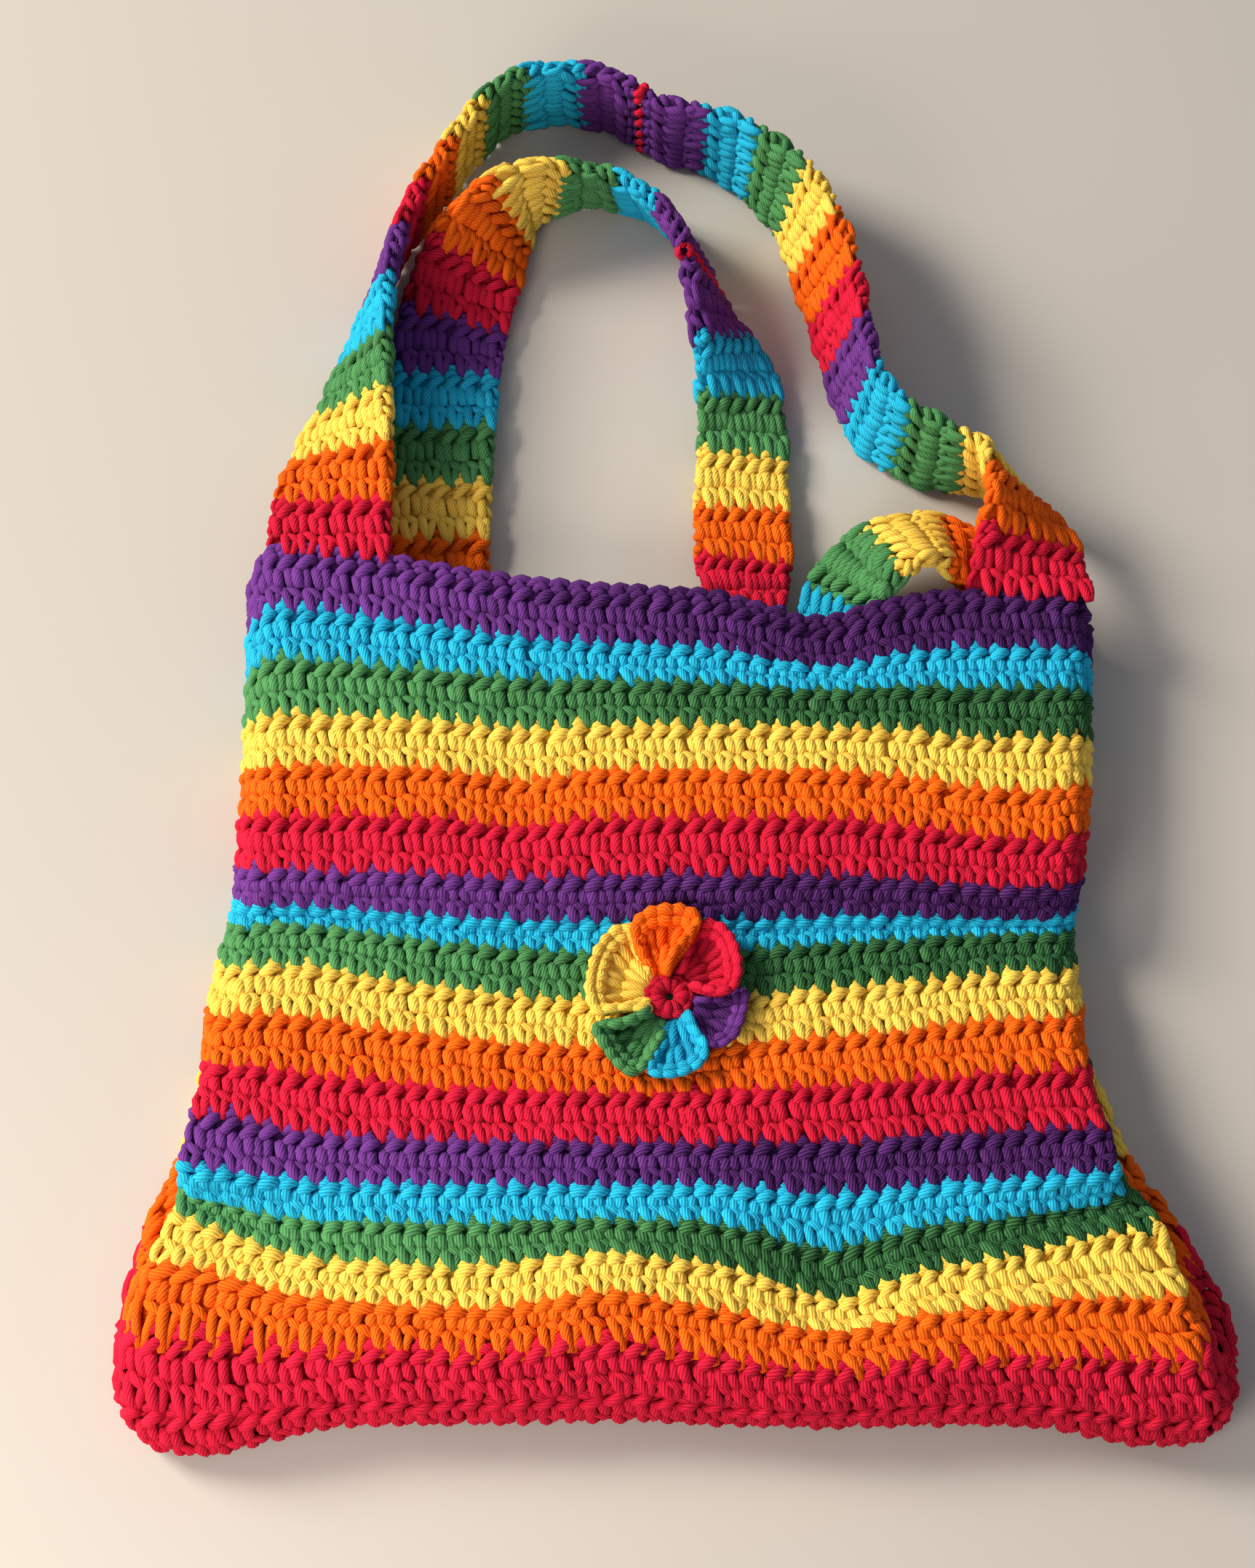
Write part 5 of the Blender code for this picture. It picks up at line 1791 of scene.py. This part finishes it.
    def petal(self, shape: PetalShape, source: np.random.Generator) -> None:
        """Make and place one petal.

        Args:
            shape: the petal.
            source: the seeded source.
        """
        colour = shape.colour
        grid, normal = self.fan(shape)
        shell, area = self.petal_shell(grid, normal)
        fabric = shell.build(f"petal_{colour.value}_fabric", (colour,))
        yarn = self.petal_yarn(shape, grid, normal, source)
        stitches = yarn.build(f"petal_{colour.value}_yarn", (colour,))
        hand_over(f"flower_petal_{colour.value}", colour.value, fabric, stitches)
        wide = 0.5 * float(run_length(grid[-1])[-1] + run_length(grid[0])[-1])
        LOG.info("petal: %s, %d triangles of yarn", colour.value, 2 * len(stitches.data.polygons))

    def centre_shell(self) -> MeshParts:
        """Make the centre's fabric: a round ring with a profile of five corners.

        Returns:
            The mesh parts, a closed ring round the eye.
        """
        columns = 4 * self.centre_stitches
        turn = 2.0 * math.pi * np.arange(columns) / columns
        rings = ((self.eye_radius, 0.0), (self.eye_radius, 1.6), (0.6 * self.centre_radius, 2.2),
                 (self.centre_radius, 1.2), (self.centre_radius, 0.0))
        points = self.disc(np.array([[radius] * columns for radius, _ in rings]), turn[None],
                           np.array([[high * MM] * columns for _, high in rings]))
        number = np.arange(len(rings) * columns).reshape(len(rings), columns)
        ahead = np.roll(number, -1, axis=1)
        below, before = np.roll(number, -1, axis=0), np.roll(ahead, -1, axis=0)
        faces = np.stack([number, below, before, ahead], -1).reshape(-1, 4)
        uv = np.stack(np.broadcast_arrays(np.arange(len(rings))[:, None] * 0.5,
                                          turn[None] * 6.0), -1).reshape(-1, 2)
        shell = MeshParts()
        shell.add(points, faces, uv[faces], 0, np.array([self.painted_shell_shade]))
        return shell

    def centre_yarn(self, source: np.random.Generator) -> MeshParts:
        """Lay the centre's stitches: two rounds of spokes from the eye, and loops round its rim.

        Args:
            source: the seeded source.

        Returns:
            The mesh parts.
        """
        yarn = MeshParts()
        count = self.centre_stitches
        shift = self.wobble.spread(source, 3 * count)
        angle = 2.0 * math.pi * np.arange(count) / count
        reach, high, radius = (np.array(values) * MM for values in (
            self.centre_reach_mm, self.centre_rise_mm, self.centre_yarn_mm))
        slant = np.linspace(-self.centre_slant, self.centre_slant, 5)
        for part, (ahead, size, lower) in enumerate(self.centre_rounds):
            drift = shift[part * count:(part + 1) * count]
            turns = (angle + ahead * 2.0 * math.pi / count)[:, None] + 0.6 * drift[:, 0:1]
            turns = turns + slant[None]
            path = self.disc(np.broadcast_to(reach, (count, 5)), turns,
                             high[None] - lower * MM + drift[:, 2:3] * MM)
            sweep(yarn, path, np.broadcast_to(UP, path.shape),
                  size * radius[None] * (1.0 + drift[:, 3:4]), 6, 0, self.centre_tone + drift[:, 4])
        drift = shift[2 * count:]
        spread = np.linspace(-self.loop_half, self.loop_half, 5)
        turns = angle[:, None] + spread[None] * 2.0 * math.pi / count + 0.3 * drift[:, 0:1]
        out = self.loop_reach + 0.5 * MM * np.cos(math.pi * spread)[None] + drift[:, 1:2] * MM
        rise = (0.7 + 1.3 * np.cos(math.pi * spread * 0.8)[None]) * MM
        path = self.disc(np.broadcast_to(out, (count, 5)), turns, rise)
        radius = np.array(self.loop_yarn_mm)[None] * (1.0 + drift[:, 3:4]) * MM
        sweep(yarn, path, np.broadcast_to(UP, path.shape), radius, 6, 0,
              self.centre_tone + drift[:, 4])
        return yarn

    def middle(self, source: np.random.Generator) -> None:
        """Make and place the red centre.

        Args:
            source: the seeded source.
        """
        fabric = self.centre_shell().build("flower_centre_fabric", (Colour.RED,))
        stitches = self.centre_yarn(source).build("flower_centre_yarn", (Colour.RED,))
        hand_over("flower_centre_red", "red", fabric, stitches)

    def disc(self, radius: np.ndarray, turn: np.ndarray, high: np.ndarray) -> np.ndarray:
        """Places round the flower's eye, over the front panel's slope.

        Args:
            radius: distance from the eye.
            turn: angle round it.
            high: height over the centre's fabric.

        Returns:
            Places.
        """
        x = self.centre[0] + radius * np.cos(turn)
        y = self.centre[1] + radius * np.sin(turn)
        z = self.panel(x, y) + self.centre_lift + high
        return np.stack([x, y, z], -1)

    def build(self, source: np.random.Generator) -> None:
        """Make and place the whole flower.

        Args:
            source: the seeded source.
        """
        for shape in PETALS:
            self.petal(shape, source)
        self.middle(source)


@dataclass
class Studio:
    """Pale floor, soft light and the camera of the photograph."""

    target: tuple[float, float, float] = (-0.016, -0.042, 0.020)
    elevation: float = 65.0
    distance: float = 0.800
    lens_mm: float = 52.76
    sensor_mm: float = 36.0
    floor_half: float = 2.5
    floor_colour: str = "#bebbb6"
    sky: float = 0.315             # strength of the even light from all round
    sky_colour: str = "#f4f6ff"

    def camera(self) -> None:
        """Set the camera at the photograph's angle."""
        data = bpy.data.cameras.new("camera")
        data.sensor_fit = "VERTICAL"
        data.sensor_height = self.sensor_mm
        data.lens = self.lens_mm
        data.clip_start = 0.05
        data.clip_end = 20.0
        item = link_object("camera", data)
        tilt = math.radians(self.elevation)
        item.location = (self.target[0], self.target[1] - self.distance * math.cos(tilt),
                         self.target[2] + self.distance * math.sin(tilt))
        item.rotation_euler = (0.5 * math.pi - tilt, 0.0, 0.0)
        bpy.context.scene.camera = item

    def lamp(self, name: str, place: tuple[float, float, float], size: float,
             power: float, tint: str) -> None:
        """Hang a square soft lamp that points at the bag.

        Args:
            name: the lamp's name.
            place: where it hangs.
            size: side of the square.
            power: in watts.
            tint: its colour.
        """
        data = bpy.data.lights.new(name, "AREA")
        data.size = size
        data.energy = power
        data.color = linear(tint)[:3]
        item = link_object(name, data)
        away = np.array(place) - np.array(self.target)
        item.location = place
        flat = math.hypot(away[0], away[1])
        item.rotation_euler = (math.atan2(flat, away[2]), 0.0,
                               math.atan2(away[1], away[0]) + 0.5 * math.pi)

    def floor(self) -> None:
        """Lay a plain pale floor."""
        half = self.floor_half
        mesh = bpy.data.meshes.new("floor")
        mesh.from_pydata([(-half, -half, 0.0), (half, -half, 0.0), (half, half, 0.0),
                          (-half, half, 0.0)], [], [(0, 1, 2, 3)])
        material = bpy.data.materials.new("plain_paper_floor")
        material.use_nodes = True
        shader = material.node_tree.nodes["Principled BSDF"]
        shader.inputs["Base Color"].default_value = linear(self.floor_colour)
        shader.inputs["Roughness"].default_value = 0.9
        shader.inputs["Specular IOR Level"].default_value = 0.1
        mesh.materials.append(material)
        link_object("floor", mesh)

    def build(self) -> None:
        """Set up the camera, the floor and the light."""
        self.camera()
        self.floor()
        world = bpy.data.worlds.new("soft_sky")
        world.use_nodes = True
        background = world.node_tree.nodes["Background"]
        background.inputs["Color"].default_value = linear(self.sky_colour)
        background.inputs["Strength"].default_value = self.sky
        bpy.context.scene.world = world
        self.lamp("key", place=(-2.05, 0.90, 1.40), size=0.9, power=101.0, tint="#fff4e2")
        self.lamp("low_fill", place=(-0.48, -0.66, 0.45), size=0.4, power=5.5, tint="#ffeee0")
        bpy.context.scene.view_settings.view_transform = "Standard"


def main() -> None:
    """Build the dressed bag in its studio."""
    logging.basicConfig(level=logging.INFO, format="%(name)s: %(message)s")
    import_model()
    Studio().build()
    source = np.random.default_rng(7)
    body = BodySurface(BodyShape())
    ToteBody(body).build(source)
    for shape in (FRONT_STRAP, BACK_STRAP):
        Strap(StrapSurface(shape, body.shape)).build(source)
    Flower(body.shape).build(source)


if __name__ == "__main__":
    main()
